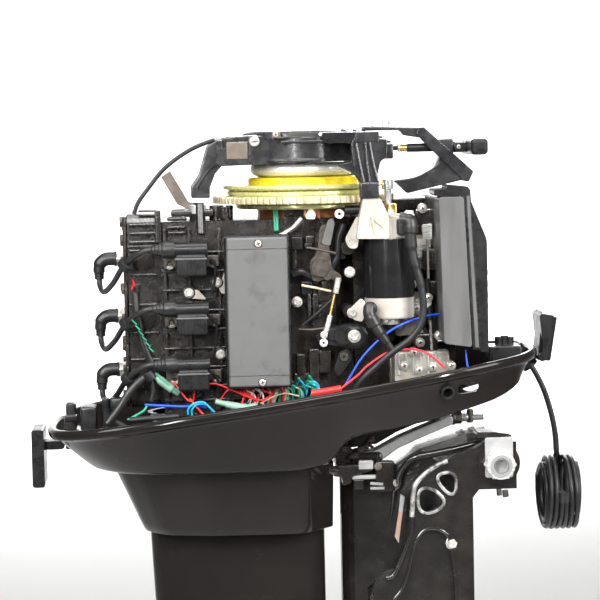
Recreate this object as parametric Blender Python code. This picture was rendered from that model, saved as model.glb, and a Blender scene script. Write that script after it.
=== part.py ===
import bpy
import bmesh
import math
from mathutils import Vector

# ---------------------------------------------------------------- dimensions
# Drawn in millimetres from the crankshaft axis (X forward, Y to port, Z up)
# and moved at the end so that the row origin is the transom's top aft corner.
TRANSOM_X = 200.0
TRANSOM_Z = 30.0
GAP = 0.3

PIVOT_X = 72.0            # steering pivot axis
TILT_X = 233.0            # tilt tube axis
TILT_Z = 63.5
PROP_Z = -655.0           # propeller shaft axis
AV_PLATE_Z = -480.0       # anti-ventilation plate
PROP_R = 155.0
RING_R = 118.0
STARTER_X, STARTER_Y, STARTER_R = 102.5, -80.0, 32.5
PINION_TIP_R = 11.5
CYL_Z = (326.0, 252.0, 182.0)
BLOCK_TOP = 375.0
BLOCK_BOTTOM = 126.0
ROPE_Y, ROPE_Z = -50.0, 462.0
SHIFT_X = -36.0
JOINT_Z = -420.0           # leg to gearcase joint
SHEAVE_R = 50.0
RIM_SLOPE = 0.137
RIM_Z0 = 158.5

for o in list(bpy.data.objects):
    bpy.data.objects.remove(o, do_unlink=True)
SCENE = bpy.context.scene
MATS = {}


# ---------------------------------------------------------------- primitives
def to_object(bm):
    bmesh.ops.recalc_face_normals(bm, faces=bm.faces)
    me = bpy.data.meshes.new("m")
    bm.to_mesh(me)
    bm.free()
    o = bpy.data.objects.new("t", me)
    SCENE.collection.objects.link(o)
    return o


def loft(loops, closed=False):
    """Skin equal-length loops; ends are capped unless closed into a ring."""
    bm = bmesh.new()
    rows = [[bm.verts.new(p) for p in lp] for lp in loops]
    n = len(rows[0])
    m = len(rows)
    for k in range(m if closed else m - 1):
        a, b = rows[k], rows[(k + 1) % m]
        for i in range(n):
            j = (i + 1) % n
            bm.faces.new((a[i], a[j], b[j], b[i]))
    if not closed:
        bm.faces.new(rows[0])
        bm.faces.new(rows[-1])
    return to_object(bm)


def place(axis, a, b, c):
    """A point given along axis (a) and across it (b, c)."""
    if axis == "x":
        return (a, b, c)
    if axis == "y":
        return (b, a, c)
    return (b, c, a)


def prism(axis, pts, lo, hi):
    return loft([[place(axis, lo, p[0], p[1]) for p in pts],
                 [place(axis, hi, p[0], p[1]) for p in pts]])


def circle(cx, cy, r, n, phase=0.0):
    return [(cx + r * math.cos(2 * math.pi * (i + phase) / n),
             cy + r * math.sin(2 * math.pi * (i + phase) / n)) for i in range(n)]


def cyl(axis, c, r, lo, hi, n=20):
    return prism(axis, circle(c[0], c[1], r, n), lo, hi)


def rrect(x0, x1, y0, y1, r, k=3):
    pts = []
    for cx, cy, a0 in ((x1 - r, y1 - r, 0), (x0 + r, y1 - r, 90), (x0 + r, y0 + r, 180), (x1 - r, y0 + r, 270)):
        for i in range(k + 1):
            a = math.radians(a0 + 90.0 * i / k)
            pts.append((cx + r * math.cos(a), cy + r * math.sin(a)))
    return pts


def rbox(axis, p, q, r=3.0, k=2):
    """Box from corner p to corner q with its edges along axis rounded."""
    i = "xyz".index(axis)
    others = [j for j in range(3) if j != i]
    a, b = others
    return prism(axis, rrect(p[a], q[a], p[b], q[b], r, k), p[i], q[i])


def box(p, q):
    return prism("z", [(p[0], p[1]), (q[0], p[1]), (q[0], q[1]), (p[0], q[1])], p[2], q[2])


def lathe(axis, c, prof, n=32, ring=False):
    """Turned solid. prof is (radius, height); ring closes the profile on itself."""
    bm = bmesh.new()
    rows = []
    for r, h in prof:
        if r <= 1e-6:
            rows.append([bm.verts.new(place(axis, h, c[0], c[1]))])
        else:
            rows.append([bm.verts.new(place(axis, h, p[0], p[1])) for p in circle(c[0], c[1], r, n)])
    m = len(rows)
    for k in range(m if ring else m - 1):
        a, b = rows[k], rows[(k + 1) % m]
        for i in range(n):
            j = (i + 1) % n
            if len(a) == 1 and len(b) == 1:
                continue
            if len(a) == 1:
                bm.faces.new((a[0], b[j], b[i]))
            elif len(b) == 1:
                bm.faces.new((a[i], a[j], b[0]))
            else:
                bm.faces.new((a[i], a[j], b[j], b[i]))
    return to_object(bm)


def smooth_path(pts, count):
    """Evenly spaced points along a Catmull-Rom curve through pts."""
    P = [Vector(p) for p in pts]
    P = [P[0] * 2 - P[1]] + P + [P[-1] * 2 - P[-2]]
    fine = []
    for i in range(1, len(P) - 2):
        for s in range(24):
            t = s / 24.0
            a, b, c, d = P[i - 1], P[i], P[i + 1], P[i + 2]
            fine.append(0.5 * ((2 * b) + (c - a) * t + (2 * a - 5 * b + 4 * c - d) * t * t
                               + (3 * b - a - 3 * c + d) * t ** 3))
    fine.append(P[-2])
    run = [0.0]
    for i in range(1, len(fine)):
        run.append(run[-1] + (fine[i] - fine[i - 1]).length)
    out = []
    k = 0
    for i in range(count):
        s = run[-1] * i / (count - 1)
        while k < len(run) - 2 and run[k + 1] < s:
            k += 1
        t = 0 if run[k + 1] == run[k] else (s - run[k]) / (run[k + 1] - run[k])
        out.append(fine[k].lerp(fine[k + 1], t))
    return out


def tube(pts, radii, n=8):
    """Round tube along points; radii is one number or one per point."""
    P = [Vector(p) for p in pts]
    if not isinstance(radii, (list, tuple)):
        radii = [radii] * len(P)
    t0 = (P[1] - P[0]).normalized()
    ref = Vector((0, 1, 0)) if abs(t0.y) < 0.9 else Vector((1, 0, 0))
    nrm = t0.cross(ref).normalized()
    loops = []
    prev = t0
    for i, p in enumerate(P):
        if i == 0:
            t = t0
        elif i == len(P) - 1:
            t = (P[i] - P[i - 1]).normalized()
        else:
            t = (P[i + 1] - P[i - 1]).normalized()
        q = prev.rotation_difference(t)
        nrm = (q @ nrm).normalized()
        prev = t
        bi = t.cross(nrm)
        r = radii[i]
        loops.append([tuple(p + nrm * (r * math.cos(2 * math.pi * k / n)) + bi * (r * math.sin(2 * math.pi * k / n)))
                      for k in range(n)])
    return loft(loops)


def boolean(a, b, op):
    m = a.modifiers.new("b", "BOOLEAN")
    m.operation = op
    m.solver = "EXACT"
    m.object = b
    dg = bpy.context.evaluated_depsgraph_get()
    me = bpy.data.meshes.new_from_object(a.evaluated_get(dg))
    a.modifiers.clear()
    old = a.data
    a.data = me
    bpy.data.meshes.remove(old)
    bpy.data.objects.remove(b, do_unlink=True)
    return a


def add(a, *others):
    for b in others:
        boolean(a, b, "UNION")
    return a


def cut(a, *others):
    for b in others:
        boolean(a, b, "DIFFERENCE")
    return a


def gear(axis, c, r_root, r_tip, teeth, lo, hi, bore, phase=0.0):
    pts = []
    for i in range(teeth):
        for f, r in ((0.0, r_root), (0.22, r_root), (0.36, r_tip), (0.62, r_tip), (0.76, r_root)):
            if f == 0.0:
                continue
            a = 2 * math.pi * (i + f + phase) / teeth
            pts.append((c[0] + r * math.cos(a), c[1] + r * math.sin(a)))
    g = prism(axis, pts, lo, hi)
    return cut(g, cyl(axis, c, bore, lo - 5, hi + 5, 24))


def ray_loop(poly, centre, n):
    """Points where n even directions from centre leave the polygon."""
    out = []
    m = len(poly)
    for i in range(n):
        a = 2 * math.pi * (i + 0.5) / n
        dx, dy = math.cos(a), math.sin(a)
        best = None
        for k in range(m):
            x1, y1 = poly[k][0] - centre[0], poly[k][1] - centre[1]
            x2, y2 = poly[(k + 1) % m][0] - centre[0], poly[(k + 1) % m][1] - centre[1]
            ex, ey = x2 - x1, y2 - y1
            den = dx * ey - dy * ex
            if abs(den) < 1e-9:
                continue
            t = (x1 * ey - y1 * ex) / den
            s = (x1 * dy - y1 * dx) / den
            if t > 0 and -1e-9 <= s <= 1 + 1e-9 and (best is None or t > best):
                best = t
        out.append((centre[0] + best * dx, centre[1] + best * dy))
    return out


def soft_poly(pts, steps=2):
    """Chaikin smoothing of a closed outline."""
    for _ in range(steps):
        q = []
        for i in range(len(pts)):
            a, b = pts[i], pts[(i + 1) % len(pts)]
            q.append((0.75 * a[0] + 0.25 * b[0], 0.75 * a[1] + 0.25 * b[1]))
            q.append((0.25 * a[0] + 0.75 * b[0], 0.25 * a[1] + 0.75 * b[1]))
        pts = q
    return pts


def mirror_poly(half):
    return half + [(x, -y) for x, y in reversed(half)]


def material(name, colour, metallic, rough):
    if name not in MATS:
        m = bpy.data.materials.new(name)
        m.use_nodes = True
        b = m.node_tree.nodes["Principled BSDF"]
        b.inputs["Base Color"].default_value = (*colour, 1.0)
        b.inputs["Metallic"].default_value = metallic
        b.inputs["Roughness"].default_value = rough
        m.diffuse_color = (*colour, 1.0)
        MATS[name] = m
    return MATS[name]


def finish(o, name, mat, origin=None, angle=35.0):
    """Scale to metres about the row origin and put the object's origin on its joint."""
    ox, oy, oz = origin if origin else (TRANSOM_X, 0.0, TRANSOM_Z)
    me = o.data
    bm = bmesh.new()
    bm.from_mesh(me)
    bmesh.ops.remove_doubles(bm, verts=bm.verts, dist=0.004)
    bmesh.ops.dissolve_degenerate(bm, edges=bm.edges, dist=0.002)
    for v in bm.verts:
        v.co = Vector(((v.co.x - ox) / 1000, (v.co.y - oy) / 1000, (v.co.z - oz) / 1000))
    bm.to_mesh(me)
    bm.free()
    o.name = name
    me.name = name
    o.location = ((ox - TRANSOM_X) / 1000, oy / 1000, (oz - TRANSOM_Z) / 1000)
    me.materials.clear()
    m = material(*mat)
    mm = m if m.users == 0 else m.copy()
    mm.name = name + "_" + mat[0]
    me.materials.append(mm)
    me.shade_smooth()
    me.set_sharp_from_angle(angle=math.radians(angle))
    return o


BLACK_PAINT = ("gloss_black_paint", (0.012, 0.011, 0.011), 0.0, 0.18)
CAST_BLACK = ("black_painted_casting", (0.016, 0.014, 0.013), 0.1, 0.32)
BLACK_PLASTIC = ("black_plastic", (0.018, 0.018, 0.019), 0.0, 0.45)
GREY_PLASTIC = ("grey_plastic", (0.16, 0.16, 0.16), 0.0, 0.5)
RUBBER = ("black_rubber", (0.015, 0.015, 0.015), 0.0, 0.65)
ALLOY = ("cast_alloy", (0.58, 0.56, 0.52), 0.8, 0.4)
STEEL = ("bright_steel", (0.62, 0.62, 0.61), 1.0, 0.25)
ZINC = ("yellow_zinc", (0.68, 0.58, 0.14), 0.9, 0.32)
BRONZE = ("bronze", (0.55, 0.36, 0.16), 1.0, 0.35)

# ============================================================ clamp brackets
BR = [(256, 36), (256, 90), (221, 91), (199, 81), (180, 73), (150, 60), (131, 44), (125, 31), (122, -2), (119, -26),
      (99, -73), (76, -83), (70, -110), (74, -180), (88, -245), (130, -285), (200, -290), (200, 20), (208, 30), (256, 30)]


def bracket(side):
    s = -1.0 if side == "starboard" else 1.0
    y0, y1 = sorted((s * 122.0, s * 108.0))
    f0, f1 = sorted((s * 122.0, s * 84.0))
    o = prism("y", BR, y0, y1)
    add(o, box((186, f0, -290), (200, f1, 8)))
    add(o, prism("y", [(200, 8), (200, 30), (256, 30), (256, 60), (206, 60), (186, 40), (186, 0)], f0, f1))
    rim = [(122, -2), (119, -26), (99, -73), (76, -83), (70, -110), (74, -180), (88, -245), (130, -285), (190, -290),
           (190, -278), (134, -273), (99, -240), (86, -178), (82, -114), (86, -93), (108, -82), (131, -28), (134, 0)]
    r0, r1 = sorted((s * 122.0, s * 92.0))
    add(o, prism("y", rim, r0, r1))
    b0, b1 = sorted((s * 127.0, s * 84.0))
    add(o, cyl("y", (TILT_X, TILT_Z), 27.0, b0, b1, 22))
    cut(o, cyl("y", (TILT_X, TILT_Z), 14.4, b0 - 5, b1 + 5, 20))
    c0, c1 = sorted((s * 130.0, s * 70.0))
    cut(o, prism("y", soft_poly([(150, 50), (178, 55), (180, 27), (168, 24)], 1), c0, c1))
    cut(o, prism("y", soft_poly([(130, 34), (150, 34), (168, 14), (146, 0), (130, 5)], 1), c0, c1))
    recess = soft_poly([(128, -20), (158, -16), (176, -40), (178, -200), (140, -262), (104, -232), (92, -170),
                        (92, -112), (112, -92)], 1)
    cut(o, prism("y", recess, *sorted((s * 117.0, s * 130.0))))
    add(o, cyl("y", (112.5, -230), 14.0, *sorted((s * 120.0, s * 96.0)), n=14))
    cut(o, cyl("y", (112.5, -230), 6.4, b0 - 10, b1 + 10, 12))
    for z in (-60.0, -225.0):
        cut(o, cyl("x", (s * 97.0, z), 6.5, 170, 210, 10))
    return finish(o, "clamp_bracket_" + side, CAST_BLACK)


bracket("starboard")
bracket("port")

o = cyl("y", (TILT_X, TILT_Z), 14.0, -150, 127, 24)
add(o, cyl("y", (TILT_X, TILT_Z), 22.0, 127.4, 139, 24), cyl("y", (TILT_X, TILT_Z), 14.0, 120, 130, 24))
cut(o, cyl("y", (TILT_X, TILT_Z), 8.2, -160, 150, 20))
finish(o, "tilt_tube", STEEL)

o = rbox("y", (215, -131, 46), (250.5, -127.3, 97), 3)
add(o, prism("y", circle(TILT_X, TILT_Z, 20.5, 6, 0.25), -147, -129))
cut(o, cyl("y", (TILT_X, TILT_Z), 14.4, -160, -120, 24))
finish(o, "tilt_tube_nut", STEEL)

o = cyl("y", (112.5, -230), 6.0, -138, 126, 12)
add(o, cyl("y", (112.5, -230), 10.0, -146, -136, 12))
finish(o, "trim_pin", STEEL)

# ============================================================ swivel bracket
o = cyl("z", (PIVOT_X, 0), 32.0, -330, 49.6, 24)
add(o, loft([[(60, y, z) for y, z in ((-30, -120), (30, -120), (30, 40), (-30, 40))],
             [(98, y, z) for y, z in ((-44, -86), (44, -86), (44, 46), (-44, 46))],
             [(140, y, z) for y, z in ((-58, -52), (58, -52), (52, 74), (-52, 74))],
             [(200, y, z) for y, z in ((-78, 30), (78, 30), (70, 94), (-70, 94))],
             [(244, y, z) for y, z in ((-78, 40), (78, 40), (70, 99), (-70, 99))]]))
add(o, cyl("y", (TILT_X, TILT_Z), 26.0, -78, 78, 28))
add(o, prism("y", [(90, 0), (150, -40), (120, -150), (104, -205), (90, -208)], -7, 7))
add(o, rbox("x", (80, -30, -247), (106, 30, -213), 5))
cut(o, loft([[(118, y, z) for y, z in ((-40, -70), (40, -70), (40, 30), (-40, 30))],
             [(196, y, z) for y, z in ((-66, -20), (66, -20), (66, 62), (-66, 62))]]))
cut(o, cyl("y", (TILT_X, TILT_Z), 14.4, -90, 90, 24))
cut(o, cyl("z", (PIVOT_X, 0), 14.4, -340, 60, 24))
finish(o, "swivel_bracket", CAST_BLACK, (TILT_X, 0, TILT_Z))

# ============================================================ steering arm
o = cyl("z", (PIVOT_X, 0), 14.0, -362, 55, 24)
arm = prism("y", [(56, 50), (96, 50), (120, 70), (152, 84), (187, 97), (190, 99), (190, 110), (183, 110), (153, 98),
                  (118, 84), (92, 70), (56, 66)], -15, 15)
add(o, arm, rbox("z", (52, -26, 50), (96, 26, 66), 8))
add(o, cyl("x", (0, 106), 4.0, 186, 232, 12), prism("x", circle(0, 106, 8.5, 6), 194, 203))
add(o, cyl("x", (0, 106), 5.4, 202, 210, 12))
finish(o, "steering_arm", ALLOY, (PIVOT_X, 0, 0))

o = rbox("x", (33, -38, 52), (51.7, 38, 82), 5)
add(o, cyl("x", (-24, 67), 6.5, 30.5, 36, 12), cyl("x", (24, 67), 6.5, 30.5, 36, 12))
add(o, prism("z", circle(42.5, -27, 7.5, 6), 80, 85), prism("z", circle(42.5, 27, 7.5, 6), 80, 85))
finish(o, "upper_mount", CAST_BLACK)

o = rbox("z", (17.5, -36, -360), (102, 36, -331), 10)
cut(o, cyl("z", (PIVOT_X, 0), 14.3, -370, -320, 24))
add(o, prism("y", circle(84, -346, 7, 6), -42, -34), prism("y", circle(84, -346, 7, 6), 34, 42))
finish(o, "lower_mount_clamp", CAST_BLACK)


# ============================================================ housings
def leg_loop(xr, xf, w, n=32):
    """Plan of the leg: round at the back, square shoulders at the front."""
    half = [(xf, 0.001), (xf, w * 0.62), (xf - 10, w * 0.86), (xf - 30, w), (xr + 75, w), (xr + 40, w * 0.88),
            (xr + 14, w * 0.55), (xr, w * 0.18)]
    return ray_loop(mirror_poly(half), (0.5 * (xr + xf), 0), n)


LEG = [(JOINT_Z, -150, 54, 42), (-386.0, -157, 50, 44), (-362.0, -162, 17, 45), (-300.0, -180, 17, 53), (-120.0, -205, 17, 62),
       (-30.0, -209, 17, 63), (125.7, -209, 17, 63)]
outer = [[(x, y, z) for x, y in leg_loop(xr, xf, w)] for z, xr, xf, w in LEG]
inner = [[(x, y, z) for x, y in leg_loop(xr + 6, xf - 4, w - 5)] for z, xr, xf, w in reversed(LEG)]
o = loft(outer + inner, closed=True)
finish(o, "drive_shaft_housing", BLACK_PAINT)

# apron under the tray
AP_TOP = mirror_poly([(29, 0.001), (29, 58), (22, 66), (-6, 112), (-20, 118), (-150, 120), (-215, 96), (-246, 52),
                      (-256, 20)])
AP_BOT = mirror_poly([(27, 0.001), (27, 52), (21, 60), (-6, 92), (-20, 98), (-130, 98), (-188, 80), (-214, 44),
                      (-218, 16)])
AC = (-100.0, 0.0)
NA = 40


def shrink(loop, c, d):
    out = []
    for x, y in loop:
        L = math.hypot(x - c[0], y - c[1])
        f = (L - d) / L
        out.append((c[0] + (x - c[0]) * f, c[1] + (y - c[1]) * f))
    return out


top = ray_loop(AP_TOP, AC, NA)
bot = ray_loop(AP_BOT, AC, NA)
hole = ray_loop(leg_loop(-211.5, 19.5, 66.0, 80), AC, NA)
rows = [[(x, y, 60.5) for x, y in top], [(x, y, -24.0) for x, y in bot], [(x, y, -24.0) for x, y in hole],
        [(x, y, -19.5) for x, y in ray_loop(leg_loop(-211.5, 19.5, 66.0, 80), AC, NA)],
        [(x, y, -19.5) for x, y in [p if math.hypot(p[0] - AC[0], p[1]) > math.hypot(q[0] - AC[0], q[1]) + 0.5 else
                                    (AC[0] + (q[0] - AC[0]) * 1.006, q[1] * 1.006)
                                    for p, q in zip(shrink(bot, AC, 4.5), hole)]],
        [(x, y, 60.5) for x, y in shrink(top, AC, 5.0)]]
o = loft(rows, closed=True)
finish(o, "apron", BLACK_PAINT)

# ============================================================ bottom cowl
CC = (-20.0, 0.0)
NC = 44


def zfloor(x):
    k = [(-400, 62), (-19, 63), (21, 72), (30, 84), (36, 96), (51, 105), (97, 110), (158, 122), (233, 143), (252, 152),
         (263, 159), (276, 168), (400, 200)]
    for (x0, z0), (x1, z1) in zip(k, k[1:]):
        if x <= x1:
            return z0 + (z1 - z0) * (x - x0) / (x1 - x0)
    return 200.0


def zrim(x):
    return RIM_Z0 + RIM_SLOPE * (x + 19)


RIM = soft_poly(mirror_poly([(299, 22), (294, 66), (262, 112), (171, 150), (60, 172), (-60, 179), (-170, 174),
                             (-262, 160), (-318, 122), (-338, 60)]), 2)
CREASE = soft_poly(mirror_poly([(276, 16), (273, 60), (262, 104), (216, 120), (140, 127), (40, 138), (-60, 143), (-160, 142),
                                (-232, 124), (-272, 78), (-281, 30)]), 1)
HOLE = leg_loop(-212.0, 20.0, 66.5, 80)
BAND = soft_poly(mirror_poly([(56, 14), (54, 84), (20, 100), (-60, 106), (-170, 102), (-226, 76), (-244, 30)]), 1)
rim = ray_loop(RIM, CC, NC)
crease = ray_loop(CREASE, CC, NC)
hole = ray_loop(HOLE, CC, NC)
band = ray_loop(BAND, CC, NC)


def between(a, b, f):
    return [(p[0] + (q[0] - p[0]) * f, p[1] + (q[1] - p[1]) * f) for p, q in zip(a, b)]


def wall(f, d=0.0, lift=0.0):
    """Point row on the flared wall: f is 0 at the crease and 1 under the rim."""
    base = between(crease, shrink(rim, CC, 9.0), f ** 0.85)
    src = shrink(base, CC, d) if d else base
    out = []
    for (x, y), (bx, by) in zip(src, base):
        z0, z1 = zfloor(bx), zrim(bx) - 14
        out.append((x, y, z0 + (max(z1, z0 + 14) - z0) * f + lift))
    return out


rows = [[(x, y, zfloor(x)) for x, y in hole], [(x, y, zfloor(x)) for x, y in band], wall(0.0), wall(0.3), wall(0.65),
        wall(1.0)]
rows += [[(x, y, zrim(x) - 12) for x, y in shrink(rim, CC, 3.0)], [(x, y, zrim(x) - 6) for x, y in rim],
         [(x, y, zrim(x) - 1) for x, y in shrink(rim, CC, 2.0)], [(x, y, zrim(x)) for x, y in shrink(rim, CC, 6.0)],
         [(x, y, zrim(x) - 2) for x, y in shrink(rim, CC, 12.0)]]
rows += [wall(0.95, 6.0), wall(0.6, 6.0, 2.0), wall(0.0, 6.0, 5.0)]
rows += [[(x, y, zfloor(x) + 5) for x, y in band], [(x, y, zfloor(x) + 5) for x, y in hole]]
o = loft(rows, closed=True)
cut(o, cyl("y", (168, 156), 6.5, -220, -60, 16))
cut(o, prism("y", [(p[0], p[1] + 0.1 * (p[0] - 195)) for p in rrect(182, 209, 154, 166, 5.9, 4)], -220, -60))
add(o, box((-316.5, -11, 80), (-280, 11, 92)))
add(o, tube([(274, 0, 197.4), (295, 0, 172.2)], 11, 12))
cut(o, tube([(262, 0, 211.8), (306, 0, 159)], 6.6, 12))
finish(o, "bottom_cowl", BLACK_PAINT)


# ============================================================ gearcase
def foil(xr, xf, w, z, n=22):
    half = [(xf, 0.001), (xf - 6, w * 0.5), (xf - 24, w * 0.88), (xf - 55, w), (xr + 60, w * 0.72), (xr + 20, w * 0.34),
            (xr, w * 0.1)]
    return [(x, y, z) for x, y in ray_loop(mirror_poly(half), (0.5 * (xf + xr), 0), n)]


o = loft([foil(-150, 54, 42, JOINT_Z - GAP), foil(-146, 56, 37, -450), foil(-140, 59, 33, -485), foil(-128, 64, 27, -560),
          foil(-118, 70, 23, -640)])
add(o, lathe("x", (0, PROP_Z), [(0, 110), (9, 107), (20, 98), (32, 80), (42, 56), (47.5, 26), (49.5, -20), (49, -90),
                                (44.5, -148), (0, -148)], 22))
av = mirror_poly([(84, 0.001), (78, 26), (50, 48), (-40, 66), (-200, 88), (-300, 86), (-330, 74), (-338, 30)])
add(o, prism("z", av, AV_PLATE_Z - 4, AV_PLATE_Z + 4))
sp = mirror_poly([(72, 0.001), (66, 30), (30, 50), (-80, 56), (-150, 50), (-176, 20)])
add(o, prism("z", sp, -452, -447))
sk = [(62, -690), (30, -742), (2, -800), (-14, -822), (-78, -824), (-92, -812), (-104, -690)]
bm_sk = loft([[(x, -4.5, z) for x, z in sk], [(x, 4.5, z) for x, z in sk]])
add(o, bm_sk)
cut(o, cyl("x", (0, PROP_Z), 38.6, -160, 46, 24))
cut(o, cyl("x", (0, PROP_Z), 10.0, 40, 66, 20))
cut(o, cyl("z", (0, 0), 17.0, -640, -410, 20))
cut(o, cyl("z", (SHIFT_X, 0), 5.4, -630, -410, 12))
for k in range(3):
    for s in (-1, 1):
        z = -520 - 12 * k
        cut(o, rbox("y", (6, min(s * 20, s * 50), z - 3), (34, max(s * 20, s * 50), z + 3), 2.5, 1))
finish(o, "gearcase", BLACK_PAINT)

o = prism("y", [(-262, -484.3), (-320, -484.3), (-328, -512), (-300, -522), (-274, -508)], -5, 5)
finish(o, "trim_tab", ("zinc_anode", (0.45, 0.45, 0.46), 0.7, 0.55))

o = lathe("z", (0, 0), [(9.2, JOINT_Z), (9.2, -417.0), (26, -417), (26, -391), (9.2, -391), (9.2, -387), (29, -387),
                        (29, -410), (31, -412), (31, JOINT_Z)], 20, ring=True)
finish(o, "water_pump_housing", GREY_PLASTIC)

o = lathe("x", (0, PROP_Z), [(9.6, -60), (38.2, -60), (38.2, -72), (22, -78), (18, -140), (9.6, -140)], 22, ring=True)
finish(o, "bearing_carrier", ALLOY)

# ============================================================ powerhead
plan = [(-185.7, -64), (-10, -68), (35, -62), (60, -36), (60, 36), (35, 62), (-10, 68), (-185.7, 64)]
o = prism("z", plan, BLOCK_BOTTOM, BLOCK_TOP)
add(o, cyl("z", (-138, -52), 10, 365, 394.7, 10), cyl("z", (-138, 52), 10, 365, 394.7, 10))
add(o, cyl("z", (-106, -30), 13, 365, 391, 14))
add(o, rbox("z", (36, 46, 346), (84, 130, 372), 6), cyl("z", (73, 118), 9.5, 366, 394.7, 10))
add(o, cyl("y", (-66, 345), 10, -98, -60, 10), cyl("y", (-66, 180), 10, -98, -60, 10))
for z in CYL_Z:
    add(o, cyl("y", (-148, z), 10, -92, -60, 10))
add(o, cyl("y", (50, 338), 9, -92, -30, 10), cyl("y", (50, 258), 8, -92, -30, 10))
add(o, cyl("y", (14, 314), 8, -84, -55, 10), cyl("y", (42, 228), 8, -84, -30, 10))
for z in CYL_Z:
    add(o, rbox("y", (-182, -72, z - 26), (-40, 72, z + 26), 12, 1))
cut(o, cyl("z", (0, 0), 46, 150, 352, 24))
cut(o, cyl("z", (0, 0), 22, 120, 380, 24))
for z in CYL_Z:
    cut(o, cyl("x", (0, z), 33, -190, -20, 16))
finish(o, "cylinder_block", CAST_BLACK)

o = rbox("x", (-228, -64, 138), (-186, 64, 385), 10, 3)
for z in CYL_Z:
    add(o, cyl("x", (0, z), 26, -233, -220, 20), cyl("x", (0, z), 9, -243, -225, 12))
for z in (150, 217, 289, 372):
    for y in (-52, 52):
        add(o, prism("x", circle(y, z, 7.5, 6), -235, -226))
finish(o, "cylinder_head", CAST_BLACK)

o = rbox("y", (-160, 72.3, 150), (-30, 82, 362), 8)
for z in (176, 216, 256, 296, 336):
    add(o, box((-152, 80, z - 3), (-38, 88, z + 3)))
finish(o, "exhaust_cover", CAST_BLACK)

o = rbox("x", (60.3, -38, 150), (104, 44, 358), 8)
for z in CYL_Z:
    cut(o, cyl("x", (0, z), 17, 50, 120, 18))
finish(o, "intake_manifold", CAST_BLACK)


def carb(name, z):
    c = rbox("x", (104.3, -26, z - 24), (112, 26, z + 24), 8)
    add(c, cyl("x", (0, z), 22, 108, 163.7, 14), rbox("z", (114, -20, z - 33), (152, 24, z - 6), 6))
    add(c, cyl("z", (132, 0), 11, z + 10, z + 32, 10), cyl("y", (138, z), 5, -34, 34, 6))
    cut(c, cyl("x", (0, z), 15, 90, 180, 12))
    return finish(c, name, ALLOY)


carb("carburettor_top", CYL_Z[0])
carb("carburettor_middle", CYL_Z[1])
carb("carburettor_bottom", CYL_Z[2])

o = rbox("y", (164, -120, 209), (198, 62, 400), 6)
for z in CYL_Z[:2]:
    cut(o, cyl("x", (0, z), 17, 150, 178, 18))
cut(o, box((171, -113, 216), (205, 55, 393)))
add(o, box((158, -120, 398), (180, -66, 407)), box((172, -120, 398), (198, -66, 415)))
finish(o, "silencer_box", ("grey_glass_filled_plastic", (0.30, 0.30, 0.30), 0.0, 0.5))

o = prism("y", [(198.3, 207), (198.3, 401), (204, 401), (222, 354), (226, 340), (226, 212), (222, 207)], -120, 62)
cut(o, prism("y", [(190, 212), (190, 396), (200.6, 396), (217, 353), (221, 339), (221, 212)], -115, 57))
for k in range(4):
    cut(o, box((224, -125, 258 + 18 * k), (230, 66, 264 + 18 * k)))
finish(o, "silencer_cover", BLACK_PLASTIC)

for tag, z in zip(("top", "middle", "bottom"), CYL_Z):
    c = rbox("y", (-168, -125, z - 17), (-128, -92.3, z + 12), 3)
    add(c, cyl("x", (-110, z + 17), 8, -171, -127, 10), cyl("x", (-110, z + 17), 9.5, -192, -170, 10))
    add(c, rbox("y", (-182, -97, z - 7), (-114, -92.3, z + 7), 3))
    finish(c, "ignition_coil_" + tag, BLACK_PLASTIC)

o = rbox("y", (-107, -135, 167), (-26, -98.3, 358), 3)
finish(o, "cdi_unit", GREY_PLASTIC)

o = lathe("z", (STARTER_X, STARTER_Y), [(0, 240), (13, 240), (14, 247), (31, 247), (32, 274), (32.5, 276), (32.5, 342),
                                        (31, 344), (31, 360), (20, 372), (14, 375), (5, 375), (5, 424), (0, 424)], 22)
add(o, prism("y", [(67, 399.7), (89, 399.7), (98, 380), (108, 374), (126, 372), (126, 350), (66, 350)], -118, -99.5))
add(o, rbox("y", (41, -104, 330), (82, -92.3, 346), 4), rbox("y", (41, -104, 250), (82, -92.3, 266), 4))
finish(o, "starter_motor", BLACK_PAINT)

o = lathe("z", (0, 0), [(26.5, 375.3), (60, 375.3), (60, 399), (26.5, 399)], 24, ring=True)
for k in range(9):
    a = 2 * math.pi * (k + 0.5) / 9
    cut(o, loft([[(math.cos(a) * r - math.sin(a) * t, math.sin(a) * r + math.cos(a) * t, z)
                  for r, t in ((46, -4), (66, -4), (66, 4), (46, 4))] for z in (387, 405)]))
finish(o, "stator", ("lacquered_windings", (0.20, 0.09, 0.04), 0.3, 0.4))

# ============================================================ recoil starter
o = lathe("z", (0, 0), [(0, 451), (7.6, 451), (7.6, 483), (75, 483), (75, 447), (80, 447), (80, 484), (77, 487),
                        (0, 487)], 28)
add(o, rbox("z", (-113, -62, 446), (-72, 62, 476), 5))
cut(o, cyl("z", (0, 0), 75, 430, 482, 28))
add(o, cyl("z", (0, 0), 7.6, 451, 484, 14))
LEGR = [(-113, 470), (-132, 476), (-150, 407), (-151, 395), (-125, 395), (-125, 407), (-122, 438), (-113, 446),
        (-100, 450), (-100, 470)]
for s in (-1, 1):
    add(o, prism("y", LEGR, *sorted((s * 62, s * 43))))
add(o, prism("z", [(28, -72), (72, -30), (92, -98), (89, -121), (60, -121)], 449, 484))
add(o, rbox("z", (66, -120, 418), (88, -99, 455), 4), rbox("z", (64.5, -121, 400), (88.5, -99.5, 421), 3))
add(o, prism("z", [(28, 72), (72, 30), (90, 104), (84, 128), (64, 128)], 449, 484))
add(o, rbox("z", (63, 108, 395), (84, 128, 455), 4))
add(o, cyl("x", (ROPE_Y, ROPE_Z), 12, 62, 119, 16))
cut(o, cyl("z", (0, 0), 75, 430, 482, 28))
add(o, cyl("z", (0, 0), 7.6, 451, 484, 14))
cut(o, cyl("x", (ROPE_Y, ROPE_Z), 3.8, 40, 140, 12))
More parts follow.
